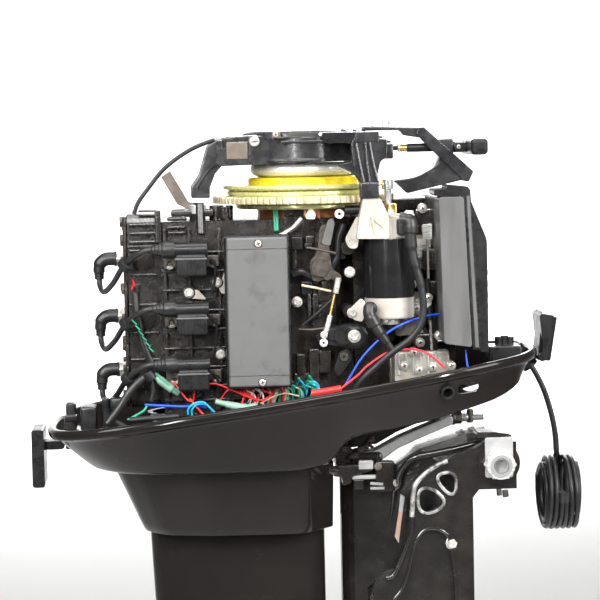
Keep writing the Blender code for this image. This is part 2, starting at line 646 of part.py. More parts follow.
for s in (-1, 1):
    for k in range(3):
        a = math.radians(30 + 60 * k) * s
        cut(o, cyl("z", (58 * math.cos(a) - 4, 58 * math.sin(a)), 9, 470, 500, 12))
finish(o, "recoil_housing", BLACK_PLASTIC)

fr = prism("y", [(73, 484.3), (73, 490.3), (148, 487.5), (213.4, 429.2), (207.4, 417.8), (198.3, 419), (130, 404),
                 (114, 419.2), (142.2, 423.9), (164.5, 433.6), (171, 451), (150, 474), (126, 478), (121, 484.3)],
           ROPE_Y - 12, ROPE_Y + 12)
o = fr
add(o, rbox("x", (170, ROPE_Y - 12, 451), (190, ROPE_Y + 12, 473), 4), cyl("x", (ROPE_Y, ROPE_Z), 5.6, 131, 178, 12))
for x in (92, 105):
    add(o, cyl("z", (x, ROPE_Y), 5.7, 487, 498.5, 10))
cut(o, cyl("x", (ROPE_Y, ROPE_Z), 3.8, 120, 220, 12))
finish(o, "handle_bracket", BLACK_PLASTIC)

o = lathe("z", (0, 0), [(8.0, 453), (SHEAVE_R + 6, 453), (SHEAVE_R + 6, 456), (SHEAVE_R - 4, 459), (SHEAVE_R - 4, 465),
                        (SHEAVE_R + 6, 468), (SHEAVE_R + 6, 471), (8.0, 471)], 24, ring=True)
finish(o, "recoil_sheave", BLACK_PLASTIC)

o = rbox("y", (207, ROPE_Y - 52, 451.5), (229, ROPE_Y + 52, 472.5), 6, 3)
add(o, lathe("x", (ROPE_Y, ROPE_Z), [(0, 190.3), (7, 190.3), (7.5, 194), (7.5, 208), (9.5, 212), (0, 212)], 14))
finish(o, "recoil_handle", BLACK_PLASTIC)

o = cyl("x", (ROPE_Y, ROPE_Z), 3.0, 76, 190, 10)
finish(o, "starter_rope", RUBBER)

# ============================================================ leads and cables
for tag, z in zip(("top", "middle", "bottom"), CYL_Z):
    pts = [(-243.3, 0, z), (-250, 0, z), (-258, 0, z - 1), (-264, 0, z - 5), (-267, 0, z - 12), (-267, 0, z - 24)]
    c = tube(pts, [9, 9, 9, 9, 8.5, 7], 10)
    lead = smooth_path([(-267, 0, z - 20), (-266, -2, z - 36), (-258, -28, z - 42), (-247, -60, z - 30),
                        (-236, -84, z - 10), (-222, -100, z + 8), (-206, -109, z + 16), (-192.4, -110, z + 17)], 20)
    add(c, tube(lead, 3.6, 6))
    finish(c, "spark_plug_lead_" + tag, RUBBER)

CABLE = [(275.7, 0, 195.3), (281.4, 0, 188.5), (287, 0, 181.7), (292.8, 0, 174.8), (298.4, 0, 168), (306, 0, 154),
         (313, 0, 138), (319, 0, 119), (324, 0, 98), (327, 0, 78), (328, 0, 62)]
COIL_X, COIL_Z, COIL_R = 330.0, 4.0, 42.0
o = tube(smooth_path(CABLE, 18), 6.0, 8)
cut(o, cyl("x", (0, COIL_Z), 50.6, 280, 380, 24))
finish(o, "battery_cable", RUBBER)
o = lathe("x", (0, COIL_Z), [(33, 306), (50, 309), (50.2, 322), (50.2, 338), (50, 351), (33, 354)], 24, ring=True)
finish(o, "battery_cable_coil", RUBBER)

# ============================================================ crank train
o = lathe("z", (0, 0), [(15.4, 386), (24, 386), (24, 404), (63.5, 404), (63.5, 385), (68, 385), (68, 395.5),
                        (105.7, 395.5), (105.7, 403.5), (100, 404), (100, 413), (104, 414), (104, 417.5), (71, 418),
                        (71, 427.5), (15.4, 427.5)], 28, ring=True)
finish(o, "flywheel", ZINC, (0, 0, 400))
pts = []
NT = 84
for i in range(NT):
    a = 2 * math.pi * i / NT
    b = 2 * math.pi * (i + 0.5) / NT
    pts += [(RING_R * math.cos(a), RING_R * math.sin(a)), (113.6 * math.cos(b), 113.6 * math.sin(b))]
o = prism("z", pts, 395, 404)
cut(o, cyl("z", (0, 0), 106.6, 390, 410, 40))
finish(o, "ring_gear", STEEL, (0, 0, 400))
o = lathe("z", (0, 0), [(20, 428), (66, 428), (68.5, 430), (68.5, 445), (65, 445), (65, 432), (20, 432)], 28,
          ring=True)
finish(o, "starter_cup", STEEL, (0, 0, 400))

o = lathe("z", (0, 0), [(0, 110), (11, 110), (11, 148), (19, 148), (19, 164), (43, 164), (43, 173), (0, 173)], 14)
add(o, lathe("z", (0, 0), [(0, 191), (43, 191), (43, 200), (18, 200), (18, 234), (43, 234), (43, 243), (0, 243)], 14))
add(o, lathe("z", (0, 0), [(0, 261), (43, 261), (43, 270), (18, 270), (18, 308), (43, 308), (43, 317), (0, 317)], 14))
add(o, lathe("z", (0, 0), [(0, 335), (43, 335), (43, 344), (19, 344), (19, 360), (15, 362), (15, 427.8), (18, 427.8),
                           (18, 441), (9, 441), (9, 446), (0, 446)], 14))
for k, (z0, z1) in enumerate(((170, 194), (240, 264), (314, 338))):
    a = math.radians(120 * k + 7)
    add(o, cyl("z", (29 * math.cos(a), 29 * math.sin(a)), 11.3, z0, z1, 11))
finish(o, "crankshaft", STEEL, (0, 0, 400))

o = lathe("z", (0, 0), [(0, PROP_Z + 22), (8.3, PROP_Z + 22), (14.3, PROP_Z + 36), (14.3, PROP_Z + 46),
                        (8.5, PROP_Z + 48), (8.5, 109.7), (0, 109.7)], 20)
finish(o, "drive_shaft", STEEL, (0, 0, 0))

o = cyl("z", (0, 0), 13.0, -414, -394, 18)
for k in range(6):
    a = 2 * math.pi * k / 6
    add(o, loft([[(math.cos(a) * r - math.sin(a) * t, math.sin(a) * r + math.cos(a) * t, z)
                  for r, t in ((8, -2.2), (24.5, -2.2), (24.5, 2.2), (8, 2.2))] for z in (-414, -394)]))
cut(o, cyl("z", (0, 0), 8.9, -420, -380, 18))
finish(o, "impeller", RUBBER, (0, 0, -404))

for name, s in (("forward_gear", 1), ("reverse_gear", -1)):
    o = lathe("x", (0, PROP_Z), [(9.5, s * 13.5), (21, s * 13.5), (22, s * 11), (36, s * 17), (36, s * 24),
                                 (28, s * 24), (20, s * 42), (9.5, s * 42)], 20, ring=True)
    finish(o, name, STEEL, (0, 0, PROP_Z))

o = lathe("x", (0, PROP_Z), [(0, 58), (9, 58), (9, -147), (14, -148), (14, -152), (9, -156), (9, -270), (7.5, -276),
                             (0, -276)], 20)
finish(o, "propeller_shaft", STEEL, (0, 0, PROP_Z))

o = lathe("x", (0, PROP_Z), [(35, -152.5), (41, -152.5), (40, -200), (36.5, -252), (32, -252)], 24, ring=True)
add(o, lathe("x", (0, PROP_Z), [(9.4, -158), (20, -158), (20, -252), (9.4, -252)], 18, ring=True))
for k in range(3):
    a = 2 * math.pi * (k + 0.5) / 3
    add(o, loft([[(x, math.cos(a) * r - math.sin(a) * t, PROP_Z + math.sin(a) * r + math.cos(a) * t)
                  for r, t in ((17, -3), (38, -3), (38, 3), (17, 3))] for x in (-240, -165)]))
for k in range(3):
    a0 = 2 * math.pi * k / 3 + math.pi / 6
    secs = []
    for r, chord, thick in ((34, 92, 9), (60, 116, 8), (90, 132, 6.5), (120, 124, 5), (143, 86, 3.6), (154, 34, 2.4)):
        pitch = math.atan2(360 / (2 * math.pi), r)
        loop = []
        m = 7
        ring = [(-0.5 + i / m, 1) for i in range(m)] + [(0.5 - i / m, -1) for i in range(m)]
        for u, sgn in ring:
            w = thick * 0.5 * max(0.12, 1 - (2 * u) ** 2) * sgn + 6 * (1 - (2 * u) ** 2) * 0.25
            along = u * chord
            x = -200 - (along * math.sin(pitch)) * 0.78 + w * math.cos(pitch) - 0.10 * (r - 34)
            th = a0 + (along * math.cos(pitch) + w * math.sin(pitch)) / r
            loop.append((x, r * math.cos(th), PROP_Z + r * math.sin(th)))
        secs.append(loop)
    add(o, loft(secs))
finish(o, "propeller", ("black_painted_alloy", (0.02, 0.02, 0.02), 0.3, 0.3), (0, 0, PROP_Z))

o = prism("x", circle(0, PROP_Z, 16.5, 6), -264, -252.4)
cut(o, cyl("x", (0, PROP_Z), 9.4, -280, -240, 20))
finish(o, "propeller_nut", STEEL, (0, 0, PROP_Z))

o = lathe("x", (0, PROP_Z), [(9.5, -8.8), (17, -8.8), (17, -4), (20, -3), (20, 3), (17, 4), (17, 8.8), (9.5, 8.8)], 20,
          ring=True)
finish(o, "clutch_dog", STEEL, (0, 0, PROP_Z))

o = cyl("z", (SHIFT_X, 0), 4.5, PROP_Z + 33, 115, 12)
add(o, rbox("z", (SHIFT_X - 42, -5, 108), (SHIFT_X + 6, 5, 115), 4))
finish(o, "shift_rod", STEEL, (SHIFT_X, 0, 0))

o = gear("z", (STARTER_X, STARTER_Y), 8.2, PINION_TIP_R, 10, 378, 392, 5.4)
finish(o, "starter_pinion", STEEL, (STARTER_X, STARTER_Y, 385))

# ============================================================ control levers
o = prism("y", soft_poly([(3, 300), (28, 298), (30, 312), (26, 330), (27, 368), (14, 368), (12, 332), (0, 322)], 2),
          -93, -87)
add(o, cyl("y", (14, 314), 11, -100, -84.3, 16))
add(o, cyl("y", (23, 303), 5, -98, -87, 12))
finish(o, "advance_lever", STEEL, (14, 0, 314))

o = prism("y", soft_poly([(8, 220), (8, 233), (34, 240), (58, 244), (62, 228), (56, 212), (34, 214)], 2), -98, -87)
add(o, cyl("y", (42, 228), 12, -103, -84.3, 18))
finish(o, "throttle_lever", BLACK_PLASTIC, (42, 0, 228))

o = prism("y", [(305, 187), (307, 181), (314, 182), (322, 240), (306, 243), (303, 240), (307, 200)], -30, 30)
add(o, cyl("y", (306, 186), 5.5, -30, 30, 14))
finish(o, "cowl_latch_front", BLACK_PLASTIC, (306, 0, 186))

o = rbox("y", (-359, -30, 34), (-343, 30, 109), 3)
add(o, rbox("y", (-350, -12, 80.5), (-322, 12, 91.5), 3), cyl("y", (-322.5, 86), 5.5, -12, 12, 14))
finish(o, "cowl_latch_rear", BLACK_PLASTIC, (-322.5, 0, 86))

for m in list(bpy.data.materials):
    if m.users == 0:
        bpy.data.materials.remove(m)
for me in list(bpy.data.meshes):
    if me.users == 0:
        bpy.data.meshes.remove(me)
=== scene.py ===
import bpy
import bmesh
import math
from mathutils import Vector, Matrix


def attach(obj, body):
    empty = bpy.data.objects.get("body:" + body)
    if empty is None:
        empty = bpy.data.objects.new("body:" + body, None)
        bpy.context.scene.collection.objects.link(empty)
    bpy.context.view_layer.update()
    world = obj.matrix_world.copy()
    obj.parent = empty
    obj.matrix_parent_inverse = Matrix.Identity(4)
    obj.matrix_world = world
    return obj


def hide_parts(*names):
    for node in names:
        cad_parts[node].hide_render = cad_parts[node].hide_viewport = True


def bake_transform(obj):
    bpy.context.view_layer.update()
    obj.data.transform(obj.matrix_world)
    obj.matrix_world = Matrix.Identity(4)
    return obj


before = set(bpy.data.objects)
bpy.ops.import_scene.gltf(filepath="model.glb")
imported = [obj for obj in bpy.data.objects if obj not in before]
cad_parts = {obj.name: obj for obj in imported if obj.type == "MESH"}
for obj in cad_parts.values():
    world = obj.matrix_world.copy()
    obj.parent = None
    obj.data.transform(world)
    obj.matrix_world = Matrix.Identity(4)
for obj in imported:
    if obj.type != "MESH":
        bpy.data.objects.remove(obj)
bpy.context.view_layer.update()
SC = bpy.context.scene


def E(x, y, z):
    """Engine millimetres (from the crankshaft axis) to row metres."""
    return Vector(((x - 200.0) / 1000.0, y / 1000.0, (z - 30.0) / 1000.0))


# ------------------------------------------------------------------ camera
YAW, PITCH, ROLL, FOCAL = math.radians(3.2), math.radians(4.44), math.radians(1.2), 2190.0
fwd = Vector((math.sin(YAW) * math.cos(PITCH), math.cos(YAW) * math.cos(PITCH), -math.sin(PITCH)))
right = Vector((math.cos(YAW), -math.sin(YAW), 0.0))
up = right.cross(fwd)
r2 = right * math.cos(ROLL) - up * math.sin(ROLL)
u2 = right * math.sin(ROLL) + up * math.cos(ROLL)
cam_d = bpy.data.cameras.new("camera")
cam = bpy.data.objects.new("camera", cam_d)
SC.collection.objects.link(cam)
cam_d.sensor_width = 36.0
cam_d.lens = FOCAL * 36.0 / 600.0
m = Matrix((r2, u2, -fwd)).transposed().to_4x4()
m.translation = E(-165.9, -2845.1, 487.6)
cam.matrix_world = m
cam_d.clip_start, cam_d.clip_end = 0.1, 60.0
SC.camera = cam


def spline(pts, count):
    P = [Vector(p) for p in pts]
    P = [P[0] * 2 - P[1]] + P + [P[-1] * 2 - P[-2]]
    fine = []
    for i in range(1, len(P) - 2):
        for s in range(20):
            t = s / 20.0
            a, b, c, d = P[i - 1], P[i], P[i + 1], P[i + 2]
            fine.append(0.5 * ((2 * b) + (c - a) * t + (2 * a - 5 * b + 4 * c - d) * t * t
                               + (3 * b - a - 3 * c + d) * t ** 3))
    fine.append(P[-2])
    run = [0.0]
    for i in range(1, len(fine)):
        run.append(run[-1] + (fine[i] - fine[i - 1]).length)
    out, k = [], 0
    for i in range(count):
        s = run[-1] * i / (count - 1)
        while k < len(run) - 2 and run[k + 1] < s:
            k += 1
        t = 0 if run[k + 1] == run[k] else (s - run[k]) / (run[k + 1] - run[k])
        out.append(fine[k].lerp(fine[k + 1], t))
    return out


# ------------------------------------------------------------------ battery leads, tied in a coil
CABLE = [(275.7, 0, 195.3), (281.4, 0, 188.5), (287, 0, 181.7), (292.8, 0, 174.8), (298.4, 0, 168), (306, 0, 154),
         (313, 0, 138), (319, 0, 119), (324, 0, 98), (327, 0, 78), (328, 0, 58)]
CORDS, TERMS = [], []
for side, tag in ((-3.4, "positive"), (3.4, "negative")):
    # down from the grommet, then three turns out and three turns back, each lead in its own half of the coil
    sx = -1 if side < 0 else 1
    down = spline([Vector((x, side, z)) for x, y, z in CABLE], 40)
    coil = []
    n1, n2 = 3.0, 2.75
    for i in range(1, 73):
        a = math.pi / 2 + 2 * math.pi * n1 * i / 72.0
        rr = 37.2 + 0.5 * math.sin(a * 0.5)
        f = min(1.0, i / 16.0)
        x = 330 + sx * (1.5 + 21.0 * i / 72.0)
        r_ = rr * f + (1 - f) * 50.0
        coil.append(Vector((x, (side * (1 - f)) - math.cos(a) * rr * 1.0, 4.0 + math.sin(a) * r_)))
    for i in range(4, 67):
        a = math.pi / 2 + 2 * math.pi * (n1 + n2 * i / 66.0)
        f = min(1.0, i / 14.0)
        rr = 37.5 + (46.0 - 37.5) * f
        coil.append(Vector((330 + sx * (22.5 - 20.0 * i / 66.0), -math.cos(a) * rr, 4.0 + math.sin(a) * rr)))
    pts = spline(down + coil, 380)
    cu = bpy.data.curves.new("battery_lead_" + tag, "CURVE")
    cu.dimensions = "3D"
    cu.bevel_depth = 0.0033
    cu.bevel_resolution = 4
    cu.use_fill_caps = True
    sp = cu.splines.new("POLY")
    sp.points.add(len(pts) - 1)
    for q, p in zip(sp.points, pts):
        q.co = (*E(*p), 1)
    tmp_o = bpy.data.objects.new("tmp", cu)
    SC.collection.objects.link(tmp_o)
    lead_me = bpy.data.meshes.new_from_object(tmp_o.evaluated_get(bpy.context.evaluated_depsgraph_get()))
    bpy.data.objects.remove(tmp_o)
    bpy.data.curves.remove(cu)
    lead_me.name = "battery_lead_" + tag
    lead_me.shade_smooth()
    ob = bpy.data.objects.new("battery_lead_" + tag, lead_me)
    SC.collection.objects.link(ob)
    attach(ob, "motor")
    CORDS.append(ob)
    end, prev_ = pts[-1], pts[-6]
    d_ = (end - prev_).normalized()
    tb = bmesh.new()
    bmesh.ops.create_cone(tb, segments=24, radius1=0.0046, radius2=0.0046, depth=0.014, cap_ends=True)
    tm = bpy.data.meshes.new("lead_terminal_" + tag)
    tb.to_mesh(tm)
    tb.free()
    to = bpy.data.objects.new("lead_terminal_" + tag, tm)
    SC.collection.objects.link(to)
    to.rotation_mode = "QUATERNION"
    to.rotation_quaternion = d_.to_track_quat("Z", "Y")
    to.location = E(*end)
    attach(to, "motor")
    TERMS.append(to)
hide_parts("battery_cable", "battery_cable_coil")

# ------------------------------------------------------------------ materials
def node(nt, kind, **kw):
    n = nt.nodes.new(kind)
    for k, v in kw.items():
        if k in n.inputs:
            n.inputs[k].default_value = v
        else:
            setattr(n, k, v)
    return n


def material(name, base, rough=0.4, metal=0.0, base2=None, cscale=30.0, cdetail=4.0, clo=0.35, chi=0.7, rough2=None,
             rscale=60.0, bump=0.0, bscale=800.0, bdist=0.0003, bump2=0.0, b2scale=60.0, coat=0.0, coat_rough=0.05,
             stretch=(1, 1, 1), dust=None, spec=0.5):
    mt = bpy.data.materials.new(name)
    mt.use_nodes = True
    nt = mt.node_tree
    b = nt.nodes["Principled BSDF"]
    b.inputs["Metallic"].default_value = metal
    b.inputs["Roughness"].default_value = rough
    b.inputs["Base Color"].default_value = (*base, 1)
    b.inputs["Specular IOR Level"].default_value = spec
    if coat:
        b.inputs["Coat Weight"].default_value = coat
        b.inputs["Coat Roughness"].default_value = coat_rough
    tc = node(nt, "ShaderNodeTexCoord")
    mp = node(nt, "ShaderNodeMapping")
    mp.inputs["Scale"].default_value = stretch
    nt.links.new(tc.outputs["Object"], mp.inputs["Vector"])
    vec = mp.outputs["Vector"]

    def noise(scale, detail=4.0, rough_=0.55, lo=0.35, hi=0.7):
        n = node(nt, "ShaderNodeTexNoise")
        n.inputs["Scale"].default_value = scale
        n.inputs["Detail"].default_value = detail
        n.inputs["Roughness"].default_value = rough_
        nt.links.new(vec, n.inputs["Vector"])
        r = node(nt, "ShaderNodeMapRange")
        r.inputs["From Min"].default_value = lo
        r.inputs["From Max"].default_value = hi
        nt.links.new(n.outputs["Fac"], r.inputs["Value"])
        return r.outputs["Result"]

    if base2 is None:
        base2 = tuple(min(1.0, c * 1.35 + 0.002) for c in base)
    mix = node(nt, "ShaderNodeMix", data_type="RGBA")
    nt.links.new(noise(cscale, cdetail, 0.6, clo, chi), mix.inputs["Factor"])
    mix.inputs["A"].default_value = (*base, 1)
    mix.inputs["B"].default_value = (*base2, 1)
    col = mix.outputs["Result"]
    if dust:
        g = node(nt, "ShaderNodeNewGeometry")
        sx = node(nt, "ShaderNodeSeparateXYZ")
        nt.links.new(g.outputs["Normal"], sx.inputs["Vector"])
        mr = node(nt, "ShaderNodeMapRange")
        mr.inputs["From Min"].default_value = 0.3
        mr.inputs["From Max"].default_value = 1.0
        mr.inputs["To Max"].default_value = dust[1]
        nt.links.new(sx.outputs["Z"], mr.inputs["Value"])
        mul = node(nt, "ShaderNodeMath", operation="MULTIPLY")
        nt.links.new(mr.outputs["Result"], mul.inputs[0])
        nt.links.new(noise(25, 6, 0.65, 0.3, 0.75), mul.inputs[1])
        m2 = node(nt, "ShaderNodeMix", data_type="RGBA")
        nt.links.new(mul.outputs[0], m2.inputs["Factor"])
        nt.links.new(col, m2.inputs["A"])
        m2.inputs["B"].default_value = (*dust[0], 1)
        col = m2.outputs["Result"]
    nt.links.new(col, b.inputs["Base Color"])
    r2_ = rough2 if rough2 is not None else min(1.0, rough * 1.35)
    mr = node(nt, "ShaderNodeMapRange")
    mr.inputs["To Min"].default_value = rough
    mr.inputs["To Max"].default_value = r2_
    nt.links.new(noise(rscale, 5.0), mr.inputs["Value"])
    nt.links.new(mr.outputs["Result"], b.inputs["Roughness"])
    last = None
    for s, sc_, d in ((bump, bscale, bdist), (bump2, b2scale, bdist * 4)):
        if s:
            bp = node(nt, "ShaderNodeBump")
            bp.inputs["Strength"].default_value = s
            bp.inputs["Distance"].default_value = d
            nt.links.new(noise(sc_, 3.0, 0.5, 0.2, 0.8), bp.inputs["Height"])
            if last:
                nt.links.new(last, bp.inputs["Normal"])
            last = bp.outputs["Normal"]
    if last:
        nt.links.new(last, b.inputs["Normal"])
    return mt


MT = {
    "gloss": material("gloss_black_paint", (0.0085, 0.0075, 0.007), 0.10, base2=(0.012, 0.010, 0.009), rough2=0.17,
                      cscale=9, rscale=14, bump=0.03, bscale=260, bdist=0.0002, coat=0.16, coat_rough=0.03, spec=0.09),
    "leg": material("leg_black_paint", (0.009, 0.008, 0.0075), 0.2, base2=(0.013, 0.011, 0.010), rough2=0.3, cscale=9,
                    rscale=20, bump=0.12, bscale=1300, bdist=0.0002, coat=0.04, coat_rough=0.12, spec=0.1),
    "cast": material("black_painted_casting", (0.010, 0.0085, 0.007), 0.18, base2=(0.024, 0.018, 0.013), rough2=0.38, spec=0.4,
                     cscale=22, clo=0.45, chi=0.8, rscale=70, bump=0.35, bscale=700, bdist=0.0004, bump2=0.15,
                     b2scale=90, coat=0.25, coat_rough=0.15, dust=((0.10, 0.08, 0.06), 0.25)),
    "bracket": material("gloss_black_bracket", (0.008, 0.0075, 0.007), 0.14, base2=(0.016, 0.014, 0.012), rough2=0.3,
                        cscale=30, rscale=50, bump=0.3, bscale=420, bdist=0.0005, bump2=0.12, b2scale=80, coat=0.5,
                        coat_rough=0.08),
    "plastic": material("satin_black_plastic", (0.0085, 0.0085, 0.009), 0.24, base2=(0.013, 0.013, 0.0135), rough2=0.38, spec=0.3,
                        cscale=40, rscale=80, bump=0.2, bscale=1500, bdist=0.0002),
    "recoil": material("recoil_black_paint", (0.010, 0.010, 0.011), 0.22, base2=(0.02, 0.02, 0.021), rough2=0.36,
                       cscale=30, rscale=60, bump=0.25, bscale=900, bdist=0.0003, coat=0.2, coat_rough=0.1,
                       dust=((0.14, 0.13, 0.12), 0.3)),
    "cdi": material("cdi_grey", (0.078, 0.078, 0.077), 0.42, base2=(0.045, 0.045, 0.045), rough2=0.66, cscale=34,
                    cdetail=6, clo=0.56, chi=0.74, rscale=50, bump=0.25, bscale=1800, bdist=0.0002),
    "silencer": material("silencer_grey", (0.085, 0.084, 0.082), 0.28, base2=(0.05, 0.05, 0.049), rough2=0.5, cscale=26,
                         cdetail=7, clo=0.5, chi=0.85, rscale=40, bump=0.12, bscale=900, bdist=0.0002,
                         stretch=(2.0, 1, 0.35)),
    "rubber": material("black_rubber", (0.009, 0.009, 0.0095), 0.36, base2=(0.016, 0.016, 0.016), rough2=0.5, spec=0.3, cscale=60,
                       rscale=90, bump=0.15, bscale=1200, bdist=0.0002),
    "lead": material("lead_rubber", (0.011, 0.011, 0.0115), 0.3, base2=(0.022, 0.021, 0.020), rough2=0.42, spec=0.35, cscale=45,
                     rscale=90, bump=0.12, bscale=1400, bdist=0.0002),
    "zinc": material("plated_bolt", (0.72, 0.70, 0.66), 0.22, metal=0.6, base2=(0.50, 0.47, 0.42), rough2=0.42,
                     cscale=150, rscale=200, bump=0.15, bscale=1600, bdist=0.0001),
    "darkbolt": material("dark_bolt", (0.045, 0.04, 0.035), 0.35, metal=0.7, base2=(0.12, 0.10, 0.08), rough2=0.5,
                         cscale=120, rscale=200, bump=0.2, bscale=1200, bdist=0.0002),
    "yellow": material("yellow_zinc_cup", (0.80, 0.62, 0.015), 0.2, metal=0.35, base2=(0.66, 0.52, 0.02), rough2=0.36,
                       cscale=26, rscale=60, bump=0.05, bscale=900, bdist=0.0001, stretch=(1, 1, 6)),
    "gold": material("pale_zinc_disc", (0.66, 0.63, 0.30), 0.2, metal=0.5, base2=(0.56, 0.58, 0.26), rough2=0.36,
                     cscale=30, rscale=60, bump=0.05, bscale=900, bdist=0.0001),
    "ring": material("ring_gear_steel", (0.66, 0.57, 0.38), 0.3, metal=0.45, base2=(0.42, 0.36, 0.22), rough2=0.5,
                     cscale=70, rscale=120, bump=0.15, bscale=1500, bdist=0.0002),
    "silver": material("starter_cup_steel", (0.72, 0.72, 0.70), 0.2, metal=0.45, base2=(0.58, 0.58, 0.56), rough2=0.4,
                       cscale=20, rscale=60, bump=0.08, bscale=1200, bdist=0.0001, stretch=(1, 1, 8)),
    "beige": material("beige_cast_alloy", (0.40, 0.375, 0.33), 0.4, metal=0.15, base2=(0.30, 0.275, 0.24), rough2=0.6,
                      cscale=40, rscale=80, bump=0.35, bscale=900, bdist=0.0003),
    "alloy": material("bare_cast_alloy", (0.36, 0.36, 0.35), 0.3, metal=0.4, base2=(0.30, 0.30, 0.295), rough2=0.55,
                      cscale=90, rscale=120, bump=0.5, bscale=620, bdist=0.0004),
    # painted highlight: light metal colour broken by dark noise, laid on the clamp bracket's upper and window edges
    # where they catch the light
    "worn": material("worn_bracket_edge", (0.42, 0.42, 0.40), 0.4, metal=0.6, base2=(0.05, 0.048, 0.045), rough2=0.5,
                     cscale=70, cdetail=8, clo=0.42, chi=0.6, rscale=120, bump=0.5, bscale=500, bdist=0.0005),
    "carb": material("carburettor_alloy", (0.46, 0.43, 0.38), 0.3, metal=0.5, base2=(0.30, 0.27, 0.22), rough2=0.55,
                     cscale=60, rscale=100, bump=0.35, bscale=800, bdist=0.0003),
    "chrome": material("polished_steel", (0.78, 0.78, 0.77), 0.12, metal=0.75, base2=(0.60, 0.60, 0.59), rough2=0.24,
                       cscale=60, rscale=200, bump=0.04, bscale=1500, bdist=0.0001),
    "brass": material("brass", (0.72, 0.52, 0.20), 0.24, metal=1.0, base2=(0.52, 0.37, 0.14), rough2=0.36, cscale=100,
                      rscale=200, bump=0.05, bscale=1500, bdist=0.0001),
    "starter": material("starter_gloss_black", (0.007, 0.007, 0.0075), 0.12, base2=(0.012, 0.012, 0.012), rough2=0.2,
                        cscale=30, rscale=40, bump=0.04, bscale=700, bdist=0.0002, coat=0.4),
    "red": material("red_wire", (0.72, 0.012, 0.010), 0.32, base2=(0.55, 0.010, 0.008), cscale=80, bump=0.08,
                    bscale=900, bdist=0.0001),
    "pink": material("faded_red_wire", (0.75, 0.035, 0.05), 0.32, base2=(0.62, 0.02, 0.03), cscale=80, bump=0.08,
                     bscale=900, bdist=0.0001),
    "blue": material("blue_wire", (0.005, 0.06, 0.50), 0.32, base2=(0.005, 0.045, 0.38), cscale=80, bump=0.08,
                     bscale=900, bdist=0.0001),
    "cyan": material("light_blue_wire", (0.01, 0.33, 0.52), 0.32, base2=(0.01, 0.26, 0.42), cscale=80, bump=0.08,
                     bscale=900, bdist=0.0001),
    "green": material("green_wire", (0.005, 0.24, 0.13), 0.32, base2=(0.005, 0.18, 0.10), cscale=80, bump=0.08,
                      bscale=900, bdist=0.0001),
    "sleeve": material("clear_sleeve", (0.22, 0.36, 0.27), 0.28, base2=(0.10, 0.20, 0.15), cscale=60, bump=0.1,
                       bscale=700, bdist=0.0002),
    "white": material("white_plastic", (0.72, 0.71, 0.68), 0.4, base2=(0.60, 0.58, 0.54), cscale=60, bump=0.05,
                      bscale=900, bdist=0.0001),
    "strap": material("oily_steel_strap", (0.16, 0.125, 0.10), 0.4, metal=0.5, base2=(0.08, 0.065, 0.055), rough2=0.55,
                      cscale=45, cdetail=7, rscale=70, bump=0.25, bscale=800, bdist=0.0003),
    "anode": material("bonded_strip", (0.50, 0.20, 0.12), 0.42, metal=0.3, base2=(0.42, 0.36, 0.31), rough2=0.55,
                      cscale=30, clo=0.3, chi=0.65, rscale=60, bump=0.1, bscale=900, bdist=0.0002),
    "zincanode": material("zinc_anode", (0.40, 0.40, 0.41), 0.5, metal=0.6, base2=(0.28, 0.28, 0.28), rough2=0.65,
                          cscale=80, bump=0.4, bscale=500, bdist=0.0004),
    "copper": material("lacquered_copper", (0.42, 0.16, 0.06), 0.3, metal=0.7, base2=(0.25, 0.09, 0.04), rough2=0.45,
                       cscale=200, bump=0.3, bscale=900, bdist=0.0002, stretch=(1, 1, 5)),
    "greyplastic": material("grey_plastic", (0.15, 0.15, 0.15), 0.45, base2=(0.11, 0.11, 0.11), cscale=50, bump=0.15,
                            bscale=1200, bdist=0.0002),
    "ceramic": material("plug_ceramic", (0.80, 0.79, 0.76), 0.2, base2=(0.70, 0.68, 0.63), cscale=60, bump=0.02,
                        bscale=900, bdist=0.0001),
    "prop": material("propeller_paint", (0.010, 0.010, 0.010), 0.2, base2=(0.018, 0.017, 0.016), rough2=0.32,
                     cscale=20, rscale=40, bump=0.08, bscale=700, bdist=0.0002, coat=0.3),
}

# ------------------------------------------------------------------ geometry kit
BATCH = {}


def put(bm, mat, body, name):
    """Add a small mesh (engine millimetres) to the piece called name."""
    key = name + "_" + mat.name
    if key not in BATCH:
        BATCH[key] = (bmesh.new(), mat, body)
    tgt = BATCH[key][0]
    bmesh.ops.recalc_face_normals(bm, faces=bm.faces)
    me = bpy.data.meshes.new("tmp")
    bm.to_mesh(me)
    bm.free()
    tgt.from_mesh(me)
    bpy.data.meshes.remove(me)


def bevel_sharp(bm, w, seg=2, angle=30.0):
    bm.normal_update()
    ed = [e for e in bm.edges if len(e.link_faces) == 2 and e.calc_face_angle(0) > math.radians(angle)]
    if ed and w > 0:
        bmesh.ops.bevel(bm, geom=ed, offset=w, segments=seg, profile=0.5, affect="EDGES", clamp_overlap=True)
    return bm


def g_box(p, q, bev=1.0, seg=2, rot=None):
    bm = bmesh.new()
    bmesh.ops.create_cube(bm, size=1.0)
    c = [(a + b) / 2 for a, b in zip(p, q)]
    s = [abs(b - a) for a, b in zip(p, q)]
    for v in bm.verts:
        v.co = Vector((v.co.x * s[0], v.co.y * s[1], v.co.z * s[2]))
    if bev:
        bmesh.ops.bevel(bm, geom=bm.edges[:], offset=min(bev, min(s) * 0.45), segments=seg, profile=0.5,
                        affect="EDGES", clamp_overlap=True)
    M = rot.to_4x4() if rot else Matrix.Identity(4)
    for v in bm.verts:
        v.co = (M @ v.co) + Vector(c)
    return bm


def axes_for(d):
    d = Vector(d).normalized()
    ref = Vector((0, 0, 1)) if abs(d.z) < 0.9 else Vector((1, 0, 0))
    a = d.cross(ref).normalized()
    b = d.cross(a).normalized()
    return d, a, b


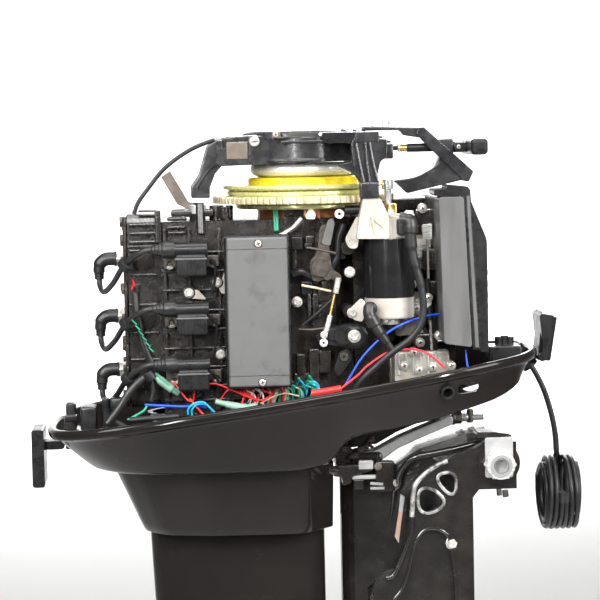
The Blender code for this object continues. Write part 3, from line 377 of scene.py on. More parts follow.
def g_lathe(o, d, prof, n=40, ring=False):
    """prof: (radius, distance along d)."""
    o = Vector(o)
    d, a, b = axes_for(d)
    bm = bmesh.new()
    rows = []
    for r, h in prof:
        c = o + d * h
        if r < 1e-6:
            rows.append([bm.verts.new(c)])
        else:
            rows.append([bm.verts.new(c + a * (r * math.cos(2 * math.pi * i / n)) + b * (r * math.sin(2 * math.pi * i / n)))
                         for i in range(n)])
    m_ = len(rows)
    for k in range(m_ if ring else m_ - 1):
        p, q = rows[k], rows[(k + 1) % m_]
        for i in range(n):
            j = (i + 1) % n
            if len(p) == 1 and len(q) == 1:
                continue
            if len(p) == 1:
                bm.faces.new((p[0], q[j], q[i]))
            elif len(q) == 1:
                bm.faces.new((p[i], p[j], q[0]))
            else:
                bm.faces.new((p[i], p[j], q[j], q[i]))
    return bm


def round_prof(prof, w=0.6):
    """Chamfer the corners of a lathe profile."""
    out = [prof[0]]
    for i in range(1, len(prof) - 1):
        p, c, q = Vector(prof[i - 1]), Vector(prof[i]), Vector(prof[i + 1])
        a, b = (p - c), (q - c)
        if a.length < 1e-6 or b.length < 1e-6:
            continue
        k = min(w, a.length * 0.4, b.length * 0.4)
        if abs(a.normalized().cross(b.normalized())) < 0.3:
            out.append(tuple(c))
            continue
        s, e = c + a.normalized() * k, c + b.normalized() * k
        mid = (s + e) / 2 * 0.5 + c * 0.5
        out += [tuple(s), tuple(mid), tuple(e)]
    out.append(prof[-1])
    return out


def g_cyl(a, b, r, n=32, bev=0.6, r2=None, bore=0.0):
    a, b = Vector(a), Vector(b)
    L = (b - a).length
    r2 = r if r2 is None else r2
    if bore:
        pr = [(bore, 0), (r, 0), (r2, L), (bore, L), (bore, 0)]
        pr = round_prof(pr, bev)[:-1]
        return g_lathe(a, b - a, pr, n, ring=True)
    return g_lathe(a, b - a, round_prof([(0, 0), (r, 0), (r2, L), (0, L)], bev), n)


def g_prism(axis, pts, lo, hi, bev=1.0, seg=2, angle=30.0):
    def pl(h, p):
        return {"x": (h, p[0], p[1]), "y": (p[0], h, p[1]), "z": (p[0], p[1], h)}[axis]
    bm = bmesh.new()
    a = [bm.verts.new(pl(lo, p)) for p in pts]
    b = [bm.verts.new(pl(hi, p)) for p in pts]
    n = len(pts)
    for i in range(n):
        j = (i + 1) % n
        bm.faces.new((a[i], a[j], b[j], b[i]))
    bm.faces.new(a)
    bm.faces.new(b)
    bmesh.ops.recalc_face_normals(bm, faces=bm.faces)
    return bevel_sharp(bm, bev, seg, angle)


def g_loft(loops, closed=False, bev=0):
    bm = bmesh.new()
    rows = [[bm.verts.new(p) for p in lp] for lp in loops]
    n, m_ = len(rows[0]), len(rows)
    for k in range(m_ if closed else m_ - 1):
        a, b = rows[k], rows[(k + 1) % m_]
        for i in range(n):
            j = (i + 1) % n
            bm.faces.new((a[i], a[j], b[j], b[i]))
    if not closed:
        bm.faces.new(rows[0])
        bm.faces.new(rows[-1])
    bmesh.ops.recalc_face_normals(bm, faces=bm.faces)
    return bevel_sharp(bm, bev) if bev else bm


def g_tube(pts, r, n=12, count=None):
    """Round tube with flat capped ends through pts (smoothed when count is given)."""
    P = spline(pts, count) if count else [Vector(p) for p in pts]
    rad = r if isinstance(r, (list, tuple)) else [r] * len(P)
    if len(rad) != len(P):
        rad = [rad[min(len(rad) - 1, int(i * len(rad) / len(P)))] for i in range(len(P))]
    t0 = (P[1] - P[0]).normalized()
    ref = Vector((0, 1, 0)) if abs(t0.y) < 0.9 else Vector((1, 0, 0))
    nrm = t0.cross(ref).normalized()
    prev = t0
    loops = []
    for i, p in enumerate(P):
        t = t0 if i == 0 else ((P[i] - P[i - 1]) if i == len(P) - 1 else (P[i + 1] - P[i - 1])).normalized()
        q = prev.rotation_difference(t)
        nrm = (q @ nrm).normalized()
        prev = t
        bi = t.cross(nrm)
        loops.append([p + nrm * (rad[i] * math.cos(2 * math.pi * k / n)) + bi * (rad[i] * math.sin(2 * math.pi * k / n))
                      for k in range(n)])
    return g_loft(loops)


def hexagon(r, ph=0.0, n=6):
    return [(r * math.cos(2 * math.pi * (i + ph) / n), r * math.sin(2 * math.pi * (i + ph) / n)) for i in range(n)]


def bolt(pos, d, af=10.0, h=6.0, wr=None, mat="zinc", body="motor", name=None, ph=0.2, wt=1.4, dimple=True):
    """Flanged hex bolt head standing on pos, pointing along d."""
    name = name or ("bolts_" + mat + "_" + body)
    o = Vector(pos)
    d, a, b = axes_for(d)
    R = af / 2 / math.cos(math.pi / 6)
    wr = wr or R * 1.28
    put(g_lathe(o, d, [(0, 0), (wr, 0), (wr, wt * 0.7), (wr - 0.5, wt), (0, wt)], 24), MT[mat], body, name)
    bm = bmesh.new()
    rows = []
    for rr, hh in ((R, wt * 0.8), (R, h - 0.9), (R * 0.86, h), (R * 0.55, h), (R * 0.45, h - (0.8 if dimple else 0))):
        rows.append([bm.verts.new(o + d * hh + a * (rr * math.cos(2 * math.pi * (i + ph) / 6))
                                  + b * (rr * math.sin(2 * math.pi * (i + ph) / 6))) for i in range(6)])
    for p, q in zip(rows, rows[1:]):
        for i in range(6):
            j = (i + 1) % 6
            bm.faces.new((p[i], p[j], q[j], q[i]))
    bm.faces.new(rows[0])
    bm.faces.new(rows[-1])
    put(bm, MT[mat], body, name)


def screw(pos, d, r=4.5, h=2.6, mat="zinc", body="motor", name=None, cross=True, ang=0.3):
    """Domed screw head with a cross or straight slot drawn as raised dark bars, a painted shade of the slot recess,
    which is not cut.
    """
    name = name or ("screws_" + mat + "_" + body)
    o = Vector(pos)
    d, a, b = axes_for(d)
    put(g_lathe(o, d, [(0, 0), (r, 0), (r, h * 0.45), (r * 0.86, h * 0.8), (r * 0.6, h * 0.95), (0, h * 0.95)], 24),
        MT[mat], body, name)
    w = r * 0.16
    slots = (0, math.pi / 2) if cross else (0,)
    for s in slots:
        u = a * math.cos(ang + s) + b * math.sin(ang + s)
        v = d.cross(u)
        bm = bmesh.new()
        vs = []
        for k in (0.0, 1.0):
            for su, sv in ((-1, -1), (1, -1), (1, 1), (-1, 1)):
                vs.append(bm.verts.new(o + d * (h * (0.955 + 0.02 * k)) + u * (su * r * 0.62) + v * (sv * w)))
        for f in ((0, 1, 2, 3), (4, 5, 6, 7), (0, 1, 5, 4), (1, 2, 6, 5), (2, 3, 7, 6), (3, 0, 4, 7)):
            bm.faces.new([vs[i] for i in f])
        # dark bars on the head: painted shade of the slot
        put(bm, MT["darkbolt"], body, "screw_slots_" + body)


def flush(smooth=35.0):
    """Turn every batch into one object that rides on its body."""
    made = {}
    for name, (bm, mat, body) in BATCH.items():
        name = name[:60]
        me = bpy.data.meshes.new(name)
        for v in bm.verts:
            v.co = E(*v.co)
        bm.to_mesh(me)
        bm.free()
        me.materials.append(mat)
        me.shade_smooth()
        me.set_sharp_from_angle(angle=math.radians(smooth))
        o = bpy.data.objects.new(name, me)
        SC.collection.objects.link(o)
        w = o.modifiers.new("wn", "WEIGHTED_NORMAL")
        w.keep_sharp = True
        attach(o, body)
        made[name] = o
    BATCH.clear()
    return made


def mirror_poly(half):
    return half + [(x, -y) for x, y in reversed(half)]


def soft_poly(pts, steps=2):
    for _ in range(steps):
        q = []
        for i in range(len(pts)):
            a, b = pts[i], pts[(i + 1) % len(pts)]
            q.append((0.75 * a[0] + 0.25 * b[0], 0.75 * a[1] + 0.25 * b[1]))
            q.append((0.25 * a[0] + 0.75 * b[0], 0.25 * a[1] + 0.75 * b[1]))
        pts = q
    return pts


def ray_loop(poly, centre, n):
    out = []
    for i in range(n):
        a = 2 * math.pi * (i + 0.5) / n
        dx, dy = math.cos(a), math.sin(a)
        best = None
        for k in range(len(poly)):
            x1, y1 = poly[k][0] - centre[0], poly[k][1] - centre[1]
            x2, y2 = poly[(k + 1) % len(poly)][0] - centre[0], poly[(k + 1) % len(poly)][1] - centre[1]
            ex, ey = x2 - x1, y2 - y1
            den = dx * ey - dy * ex
            if abs(den) < 1e-9:
                continue
            t = (x1 * ey - y1 * ex) / den
            s = (x1 * dy - y1 * dx) / den
            if t > 0 and -1e-9 <= s <= 1 + 1e-9 and (best is None or t > best):
                best = t
        out.append((centre[0] + best * dx, centre[1] + best * dy))
    return out


def shrink(loop, c, d):
    out = []
    for x, y in loop:
        L = math.hypot(x - c[0], y - c[1])
        f = (L - d) / L
        out.append((c[0] + (x - c[0]) * f, c[1] + (y - c[1]) * f))
    return out


def between(a, b, f):
    return [(p[0] + (q[0] - p[0]) * f, p[1] + (q[1] - p[1]) * f) for p, q in zip(a, b)]


for o_ in CORDS:
    o_.data.materials.append(MT["rubber"])
for o_ in TERMS:
    o_.data.materials.append(MT["lead"])

def solo(bm, name, mat, body, replaces=(), smooth=35.0, wn=True):
    """One separate piece from a mesh in engine millimetres."""
    bmesh.ops.recalc_face_normals(bm, faces=bm.faces)
    for v in bm.verts:
        v.co = E(*v.co)
    me = bpy.data.meshes.new(name)
    bm.to_mesh(me)
    bm.free()
    me.materials.append(MT[mat])
    me.shade_smooth()
    me.set_sharp_from_angle(angle=math.radians(smooth))
    o = bpy.data.objects.new(name, me)
    SC.collection.objects.link(o)
    if wn:
        w = o.modifiers.new("wn", "WEIGHTED_NORMAL")
        w.keep_sharp = True
    if body:
        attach(o, body)
    if replaces:
        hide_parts(*replaces)
    return o


def carve(bm, cutters):
    """Cut closed meshes out of bm with an exact boolean and give the new mesh back."""
    def tmp(b):
        bmesh.ops.recalc_face_normals(b, faces=b.faces)
        me = bpy.data.meshes.new("tmp")
        b.to_mesh(me)
        b.free()
        o = bpy.data.objects.new("tmp", me)
        SC.collection.objects.link(o)
        return o
    a = tmp(bm)
    others = []
    for c in cutters:
        k = tmp(c)
        others.append(k)
        md = a.modifiers.new("cut", "BOOLEAN")
        md.operation = "DIFFERENCE"
        md.solver = "EXACT"
        md.object = k
    me = bpy.data.meshes.new_from_object(a.evaluated_get(bpy.context.evaluated_depsgraph_get()))
    out = bmesh.new()
    out.from_mesh(me)
    bpy.data.meshes.remove(me)
    for o in [a] + others:
        m_ = o.data
        bpy.data.objects.remove(o)
        bpy.data.meshes.remove(m_)
    return out


def rounded(pts, r, k=4, only=None):
    out = []
    n = len(pts)
    for i in range(n):
        p, c, q = Vector(pts[i - 1]), Vector(pts[i]), Vector(pts[(i + 1) % n])
        a, b = p - c, q - c
        d = min(r, a.length * 0.42, b.length * 0.42)
        s, e = c + a.normalized() * d, c + b.normalized() * d
        for j in range(k + 1):
            t = j / k
            out.append(tuple(s * (1 - t) ** 2 + c * 2 * t * (1 - t) + e * t * t))
    return out


# ------------------------------------------------------------------ tray and apron
CC = (-19.0, 0.0)
NC = 168


def zfloor(x):
    k = [(-400, 62), (-19, 63), (21, 72), (30, 84), (36, 96), (51, 105), (97, 110), (158, 122), (233, 143), (252, 152),
         (263, 159), (276, 168), (400, 200)]
    for (x0, z0), (x1, z1) in zip(k, k[1:]):
        if x <= x1:
            return z0 + (z1 - z0) * (x - x0) / (x1 - x0)
    return 200.0


def zf(x):
    return sum(zfloor(x + d) for d in (-9, -6, -3, 0, 3, 6, 9)) / 7.0


def zrim(x):
    return 158.5 + 0.137 * (x + 19)


def leg_loop(xr, xf, w, n=32):
    half = [(xf, 0.001), (xf, w * 0.62), (xf - 10, w * 0.86), (xf - 30, w), (xr + 75, w), (xr + 40, w * 0.88),
            (xr + 14, w * 0.55), (xr, w * 0.18)]
    return ray_loop(rounded(mirror_poly(half), 12, 3), (0.5 * (xr + xf), 0), n)


RIM = soft_poly(mirror_poly([(299, 22), (294, 66), (262, 112), (171, 150), (60, 172), (-60, 179), (-170, 174),
                             (-262, 160), (-318, 122), (-338, 60)]), 3)
CREASE = soft_poly(mirror_poly([(276, 16), (273, 60), (262, 104), (216, 120), (140, 127), (40, 138), (-60, 143),
                                (-160, 142), (-232, 124), (-272, 78), (-281, 30)]), 3)
HOLE = leg_loop(-212.0, 20.0, 66.5, 120)
BAND = soft_poly(mirror_poly([(56, 14), (54, 84), (20, 100), (-60, 106), (-170, 102), (-226, 76), (-244, 30)]), 3)
rim, crease = ray_loop(RIM, CC, NC), ray_loop(CREASE, CC, NC)
hole, band = ray_loop(HOLE, CC, NC), ray_loop(BAND, CC, NC)


def wall(f, d=0.0, lift=0.0):
    base = between(crease, shrink(rim, CC, 8.0), f ** 0.85)
    src = shrink(base, CC, d) if d else base
    out = []
    for (x, y), (bx, by) in zip(src, base):
        z0, z1 = zf(bx), zrim(bx) - 13
        out.append((x, y, z0 + (max(z1, z0 + 12) - z0) * f + lift))
    return out


def ring_at(loop, fz):
    return [(x, y, fz(x)) for x, y in loop]


rows = [ring_at(hole, zf), ring_at(between(hole, band, 0.5), zf), ring_at(band, zf),
        ring_at(between(band, crease, 0.9), lambda x: zf(x) - 0.1),
        [(x, y, z - 0.0) for x, y, z in wall(0.0, 1.4)], wall(0.025, 0.0), wall(0.08)]
rows += [wall(f) for f in (0.2, 0.35, 0.5, 0.65, 0.8, 0.93)]
rows += [wall(0.985, -0.8), wall(1.0, -3.0),
         ring_at(shrink(rim, CC, 1.6), lambda x: zrim(x) - 11.5), ring_at(shrink(rim, CC, 0.3), lambda x: zrim(x) - 9.5),
         ring_at(rim, lambda x: zrim(x) - 6), ring_at(shrink(rim, CC, 0.5), lambda x: zrim(x) - 3),
         ring_at(shrink(rim, CC, 2.2), lambda x: zrim(x) - 0.9), ring_at(shrink(rim, CC, 4.5), zrim),
         ring_at(shrink(rim, CC, 7.5), lambda x: zrim(x) - 0.1), ring_at(shrink(rim, CC, 10), lambda x: zrim(x) - 1.6),
         ring_at(shrink(rim, CC, 12), lambda x: zrim(x) - 5)]
rows += [wall(0.95, 6.0), wall(0.6, 6.0, 2.0), wall(0.3, 6.0, 3.0), wall(0.0, 6.0, 5.0)]
rows += [ring_at(band, lambda x: zf(x) + 5), ring_at(hole, lambda x: zf(x) + 5)]
bm = g_loft(rows, closed=True)
cuts = [g_cyl((168, -220, 156), (168, -60, 156), 6.5, 32, 0),
        g_prism("y", [(p[0], p[1] + 0.1 * (p[0] - 195)) for p in rounded([(182, 154), (209, 154), (209, 166), (182, 166)],
                                                                         5.9, 6)], -220, -60, 0),
        g_tube([(262, 0, 211.8), (306, 0, 159)], 6.6, 24)]
bm = carve(bm, cuts)
solo(bm, "tray", "gloss", "motor", ("bottom_cowl",), smooth=40, wn=False)
put(g_cyl((-316.5, 0, 86), (-280, 0, 86), 5.5, 24), MT["plastic"], "motor", "latch_base")
put(g_box((-316, -11, 80), (-281, 11, 92), 2), MT["plastic"], "motor", "latch_base")
put(g_cyl((274, 0, 197.4), (296, 0, 171), 11, 32, 1.5, bore=6.7), MT["rubber"], "motor", "lead_grommet")
put(g_cyl((289, 0, 179.5), (293, 0, 174.6), 13.5, 32, 1.2, bore=6.7), MT["rubber"], "motor", "lead_grommet")
# rubber edging in the round side hole
put(g_lathe((168, -141, 156), (0, 1, 0), round_prof([(5.9, -2), (8.6, -2), (8.6, 2.5), (5.9, 2.5), (5.9, -2)], 0.5)[:-1], 32,
            ring=True), MT["plastic"], "motor", "hole_edging")

AP_TOP = mirror_poly([(29, 0.001), (29, 58), (22, 66), (-6, 112), (-20, 118), (-150, 120), (-215, 96), (-246, 52),
                      (-256, 20)])
AP_BOT = mirror_poly([(27, 0.001), (27, 52), (21, 60), (-6, 92), (-20, 98), (-130, 98), (-188, 80), (-214, 44),
                      (-218, 16)])
at, ab = rounded(AP_TOP, 22, 5), rounded(AP_BOT, 20, 5)
it, ib = shrink(at, (-100, 0), 5), shrink(ab, (-100, 0), 5)
rows = [[(x, y, 60.4) for x, y in it], [(x, y, 60.4) for x, y in at]]
for k in range(1, 8):
    f = k / 8.0
    bulge = 1.6 * math.sin(math.pi * f)
    rows.append([(x, y + (bulge if y > 40 else -bulge if y < -40 else 0), 60.4 + (-24.0 - 60.4) * f)
                 for x, y in between(at, ab, f)])
rows += [[(x, y, -23.2) for x, y in ab], [(x, y, -24.0) for x, y in shrink(ab, (-100, 0), 1.0)],
         [(x, y, -24.0) for x, y in ib]]
solo(g_loft(rows, closed=True), "leg_apron", "gloss", "motor", ("apron",), smooth=40, wn=False)

LEG = [(-420.0, -150, 54, 42), (-386.0, -157, 50, 44), (-362.0, -162, 17, 45), (-300.0, -180, 17, 53),
       (-120.0, -205, 17, 62), (-30.0, -209, 17, 63), (125.7, -209, 17, 63)]
outer = [[(x, y, z) for x, y in leg_loop(xr, xf, w, 120)] for z, xr, xf, w in LEG]
inner = [[(x, y, z) for x, y in leg_loop(xr + 6, xf - 4, w - 5, 120)] for z, xr, xf, w in reversed(LEG)]
solo(g_loft(outer + inner, closed=True), "leg_housing", "leg", "motor", ("drive_shaft_housing",), smooth=40, wn=False)

# ------------------------------------------------------------------ flywheel group (turns with the crankshaft)
solo(g_lathe((0, 0, 0), (0, 0, 1), round_prof([(12, 406), (60, 406), (60, 411), (98, 413.2), (104, 414.2), (104, 416.8),
    (101, 417.5), (96, 416.2), (80, 415.2), (73, 416), (71.5, 419), (71.8, 424), (70, 427.5), (60, 427.5), (12, 427.5),
    (12, 406)], 0.8)[:-1], 128, ring=True), "flywheel_rotor", "yellow", "crank", ("flywheel",), smooth=50)
put(g_lathe((0, 0, 0), (0, 0, 1), [(82, 410.4), (101, 412.0), (104.3, 414.0), (104.6, 416.2), (103, 418.1), (99, 417.6),
    (90, 416.8), (82, 416.2)], 128, ring=True), MT["gold"], "crank", "flywheel_disc")
put(g_lathe((0, 0, 0), (0, 0, 1), [(72, 404.6), (97, 404.6), (99, 406.5), (99, 409.2), (97, 410.8), (72, 410.8)], 128,
    ring=True), MT["gold"], "crank", "flywheel_disc")
bm = bmesh.new()
T = 84
rr = []
prof = [(-0.5, 113.4), (-0.26, 113.6), (-0.2, 117.4), (-0.14, 118.0), (0.14, 118.0), (0.2, 117.4), (0.26, 113.6)]
for z, k in ((395.0, 1), (396.0, 0), (403.0, 0), (404.0, 1)):
    rr.append([bm.verts.new(((r - k) * math.cos(2 * math.pi * (t + a) / T), (r - k) * math.sin(2 * math.pi * (t + a) / T), z))
               for t in range(T) for a, r in prof])
nn = len(rr[0])
low = [bm.verts.new((106.7 * math.cos(2 * math.pi * (i / len(prof)) / T), 106.7 * math.sin(2 * math.pi * (i / len(prof)) / T), 404))
       for i in range(nn)]
low0 = [bm.verts.new((v.co.x, v.co.y, 395)) for v in low]
allr = [low0] + rr + [low]
for p, q in zip(allr, allr[1:] + [low0]):
    for i in range(nn):
        j = (i + 1) % nn
        bm.faces.new((p[i], p[j], q[j], q[i]))
solo(bm, "starter_ring", "ring", "crank", ("ring_gear",), smooth=30, wn=False)
put(g_lathe((0, 0, 0), (0, 0, 1), [(66, 387.6), (86, 387.6), (88, 389.5), (88, 392.5), (86, 394.4), (66, 394.4)], 128,
    ring=True), MT["gold"], "crank", "flywheel_disc")
put(g_lathe((0, 0, 0), (0, 0, 1), [(106, 395.2), (86, 395.2), (86, 404.4), (106, 404.4)], 128, ring=True), MT["gold"],
    "crank", "flywheel_disc")
solo(g_lathe((0, 0, 0), (0, 0, 1), round_prof([(12, 428), (58, 428), (64, 430), (68, 434.5), (68.5, 439), (66.5, 443),
    (64, 445), (12, 445), (12, 428)], 1.5)[:-1], 128, ring=True), "starter_cup_disc", "silver", "crank", ("starter_cup",),
    smooth=60)

# ------------------------------------------------------------------ recoil starter
body = "motor"
bm = g_lathe((0, 0, 0), (0, 0, 1), round_prof([(8, 451), (8, 481), (75, 481), (75, 447), (81.8, 447), (82, 450), (80, 451),
    (80, 478), (77.5, 484), (72, 486.6), (40, 487), (36, 485), (14, 485), (12, 488), (8, 488), (8, 451)], 0.8)[:-1], 128,
    ring=True)
solo(bm, "recoil_drum", "recoil", body, ("recoil_housing",), smooth=40)
R_ = "recoil_arms"
put(g_prism("y", [(-111.7, 474.9), (-112.4, 445.7), (-105.7, 443.6), (-34.4, 445.2), (-33.8, 470.6), (-44.5, 469.1), (-54.1, 480.8),
     (-62.1, 481.0), (-65.8, 474.0), (-83.6, 474.4), (-83.8, 466.4), (-110.4, 466.9)], -66, -44, 1.5), MT["recoil"], body, R_)
put(g_prism("y", [(-113.5, 478.1), (-112.2, 444.6), (-83.9, 445.4), (-51.7, 446.0), (-43.8, 478.8), (-58.0, 482.7), (-86.7, 481.1)],
    -52, 40, 2), MT["recoil"], body, R_)
put(g_box((-100, -67.5, 452), (-73, -62, 474), 1.5), MT["strap"], body, "recoil_plate")
put(g_box((-71, -67, 448), (-67, -60, 480), 1), MT["recoil"], body, R_)
# rear legs down to the crankcase posts
for s in (-1, 1):
    y0, y1 = sorted((s * 62, s * 47))
    put(g_prism("y", [(-111.5, 477.0), (-123.6, 468.9), (-132.3, 439.8), (-135.2, 430.9), (-145.4, 416.9), (-146.0, 404.1),
        (-122.0, 403.5), (-121.7, 416.4), (-114.6, 434.0), (-105.5, 444.2), (-104.7, 476.9)], y0, y1, 1.5), MT["recoil"], body, R_)
    put(g_tube([(-112.4, -63.0, 444.4), (-119.0, -63.0, 442.3), (-125.4, -63.0, 436.2), (-132.8, -63.0, 425.7), (-138.7, -63.0, 417.0)], 1.3, 8, 24), MT["recoil"], body, R_)
# front starboard leg with three ribs
put(g_prism("y", [(54.4, 469.0), (55.8, 447.1), (59.0, 431.2), (68.5, 420.5), (89.7, 420.0), (86.3, 427.1),
     (91.0, 446.3), (99.0, 451.4), (99.5, 474.2), (59.0, 478.5)], -119, -98, 1.5), MT["recoil"], body, R_)
for a, b in (((1250, 205), (1305, 475)), ((1318, 200), (1350, 470)), ((1350, 200), (1405, 460))):
    pass
put(g_tube([(60.0, -119.5, 469.8), (64.1, -119.5, 445.3), (68.6, -119.5, 421.1)], 2.2, 8), MT["recoil"], body, R_)
put(g_tube([(71.6, -119.5, 470.4), (73.2, -119.5, 445.1), (76.3, -119.5, 420.9)], 2.2, 8), MT["recoil"], body, R_)
put(g_tube([(76.9, -119.5, 470.3), (81.1, -119.5, 444.9), (86.0, -119.5, 424.7)], 2.2, 8), MT["recoil"], body, R_)
put(g_tube([(38.7, -112.0, 442.6), (49.1, -112.0, 437.6), (61.3, -112.0, 429.5), (69.9, -112.0, 417.9)], 1.5, 8, 24), MT["recoil"], body, R_)
put(g_prism("y", [(38.8, 443.6), (55.6, 447.1), (59.7, 431.2), (70.4, 419.8), (68.2, 416.1), (57.9, 430.4)], -113, -104, 1),
    MT["recoil"], body, R_)
put(g_box((64.5, -121, 400.2), (88.5, -99.5, 421), 2.5), MT["recoil"], body, R_)
put(g_prism("z", [(28, -72), (72, -30), (92, -98), (89, -120), (60, -120), (20, -80)], 470, 484, 1.5), MT["recoil"], body, R_)
put(g_prism("z", [(28, 72), (72, 30), (90, 104), (84, 128), (64, 128)], 460, 484, 1.5), MT["recoil"], body, R_)
put(g_box((63, 108, 395.5), (84, 128, 462), 2), MT["recoil"], body, R_)
for k in range(7):
    a = math.radians(-62 + k * 14)
    put(g_box((81 * math.cos(a) - 1.2, 81 * math.sin(a) - 1.2, 470), (81 * math.cos(a) + 1.2, 81 * math.sin(a) + 1.2, 485), 0.6),
        MT["recoil"], body, R_)
# sloping ribs on the front shoulder
for x0, y0, x1, y1 in ((1090, 130, 1260, 200), (1150, 105, 1360, 190), (1240, 118, 1400, 165)):
    pass
put(g_tube([(32.7, -84.0, 480.8), (48.1, -88.0, 472.6), (63.7, -92.0, 468.7)], 2.0, 8), MT["recoil"], body, R_)
put(g_tube([(45.5, -80.0, 486.2), (64.2, -88.0, 478.4), (81.1, -96.0, 471.0)], 2.4, 8), MT["recoil"], body, R_)
put(g_tube([(59.8, -78.0, 485.2), (77.0, -84.0, 479.9), (96.1, -88.0, 475.1)], 2.4, 8), MT["recoil"], body, R_)
put(g_cyl((110.3, -50.0, 461.6), (96.8, -50.0, 461.9), 11, 32, 1.5), MT["recoil"], body, R_)
put(g_box((98.3, -64.0, 468.7), (112.8, -40.0, 448.5), 2.5), MT["recoil"], body, R_)
bolt((81.0, -110.0, 422.0), (0, 0, 1), 9.5, 5.5, mat="zinc")
screw((-64.2, -68.0, 474.3), (0, -1, 0), 6.4, 3.2, cross=False, ang=0.2)
put(g_cyl((-63.9, -60.0, 474.3), (-64.2, -67.5, 474.3), 7.6, 28, 0.8), MT["recoil"], body, R_)
# spring, pawl link and cable clip on the top deck
put(g_lathe((-0.4, -74.0, 480.6), (1, 0, 0), round_prof([(0, 0), (3.4, 0), (3.4, 2), (2.6, 2.4)] + [(2.6 + 0.5 * (i % 2), 3 + i * 1.15) for i in range(14)]
    + [(3.4, 20), (3.4, 22), (0, 22)], 0.2), 24), MT["zinc"], body, "recoil_spring")
put(g_tube([(-36.3, -80.0, 477.8), (-20.3, -80.0, 478.4), (-2.5, -78.0, 478.4)], 1.4, 8), MT["darkbolt"], body, "recoil_link")
put(g_box((-42.3, -80.0, 485.9), (-31.5, -72.0, 477.7), 1.2), MT["strap"], body, "recoil_link")
put(g_box((26.7, -80.0, 480.9), (34.2, -72.0, 469.2), 1.2), MT["darkbolt"], body, "recoil_link")
screw((-37.9, -80.0, 482.6), (0, -1, 0), 3.2, 1.6)
put(g_box((-31.1, -81.5, 474.2), (32.8, -79.0, 470.7), 0.8), MT["recoil"], body, R_)
# cable of the neutral interlock
put(g_tube([(-81.1, -40.0, 476.9), (-99.0, -40.0, 478.2), (-115.1, -36.0, 476.7), (-145.6, -30.0, 464.9), (-178.1, -30.0, 442.6), (-201.8, -30.0, 414.9), (-213.8, -30.0, 398.6), (-219.3, -30.0, 384.6)],
           2.9, 12, 60), MT["rubber"], body, "interlock_cable")
put(g_cyl((-113.2, -36.0, 478.1), (-98.9, -38.0, 479.0), 4.2, 20, 0.6), MT["zinc"], body, "cable_ferrule")
# lifting strap, posts
put(g_prism("y", [(-183.6, 431.0), (-171.8, 438.4), (-149.7, 399.3), (-139.5, 392.7), (-144.8, 386.4), (-163.9, 395.8)], -26, -14, 1), MT["strap"],
    body, "lifting_strap")

# starter handle, its bracket and the rope
solo(g_prism("y", [(73, 484.6), (73, 490.3), (146, 487.8), (152, 485), (213.4, 429.2), (207.4, 417.8), (198.3, 419),
    (130, 404), (114, 419.2), (142.2, 423.9), (164.5, 433.6), (171, 451), (150, 474), (126, 478), (121, 484.6)], -62, -38,
    1.6, 3), "handle_arm", "recoil", body, ("handle_bracket",), smooth=40)
put(g_prism("y", [(146, 487.6), (152, 488.2), (215.0, 430.4), (208.6, 417.0), (203, 418), (150, 470), (142, 480)], -64.5, -61, 1.2), MT["recoil"], body,
    "handle_arm_rib")
put(g_box((170, -62, 451), (190, -38, 473), 2.5), MT["recoil"], body, "handle_arm_rib")
put(g_cyl((131, -50, 462), (176, -50, 462), 5.6, 28, 1, bore=3.4), MT["plastic"], body, "rope_guide")
put(g_cyl((119.3, -50, 462), (130.5, -50, 462), 4.6, 24, 0.8, bore=3.4), MT["brass"], body, "rope_nipple")
for k in range(3):
    put(g_cyl((120 + 3.6 * k, -50, 462), (121.8 + 3.6 * k, -50, 462), 7.2 - k, 6, 0.4, bore=3.4), MT["brass" if k else "zinc"], body,
        "rope_nipple_%d" % k)
for x in (92, 105):
    bolt((x, -50, 489.8), (0, 0, 1), 9.4, 8.2, mat="zinc")
put(g_tube([(112.8, -62.0, 419.5), (140.8, -62.0, 423.5), (163.1, -62.0, 434.5), (172.3, -62.0, 442.2)], 1.6, 8, 20), MT["recoil"], body, "handle_arm_rib")
cu_pts = [(76 + 114 * i / 30.0, -50, 462) for i in range(31)]
ob = solo(g_tube(cu_pts, 3.0, 14), "pull_rope", "rubber", None, ("starter_rope",), smooth=60, wn=False)
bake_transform(ob)
bm = g_box((207, -102, 451.5), (229, 2, 472.5), 5.5, 4)
solo(bm, "pull_handle", "plastic", "handle", ("recoil_handle",), smooth=50)
put(g_cyl((190.3, -50, 462), (211, -50, 462), 7.2, 32, 1.2), MT["plastic"], "handle", "pull_handle_neck")
put(g_box((192, -57.5, 456), (207, -42.5, 468), 2), MT["plastic"], "handle", "pull_handle_neck")
screw((197, -57.6, 462), (0, -1, 0), 2.6, 1.2, body="handle")
put(g_box((210, -103.2, 455), (226, -100, 469), 1.5), MT["plastic"], "handle", "pull_handle_neck")

# ------------------------------------------------------------------ crankcase, block and head
K = "casting_details"
for z in (336, 312, 288, 262, 238, 214, 190, 166, 148):
    put(g_box((-185, -75.2, z - 1.6), (-42, -70, z + 1.6), 1.1), MT["cast"], body, K)
for x in (-181, -150, -112):
    put(g_box((x - 2, -74.5, 138), (x + 2, -69, 366), 1.2), MT["cast"], body, K)
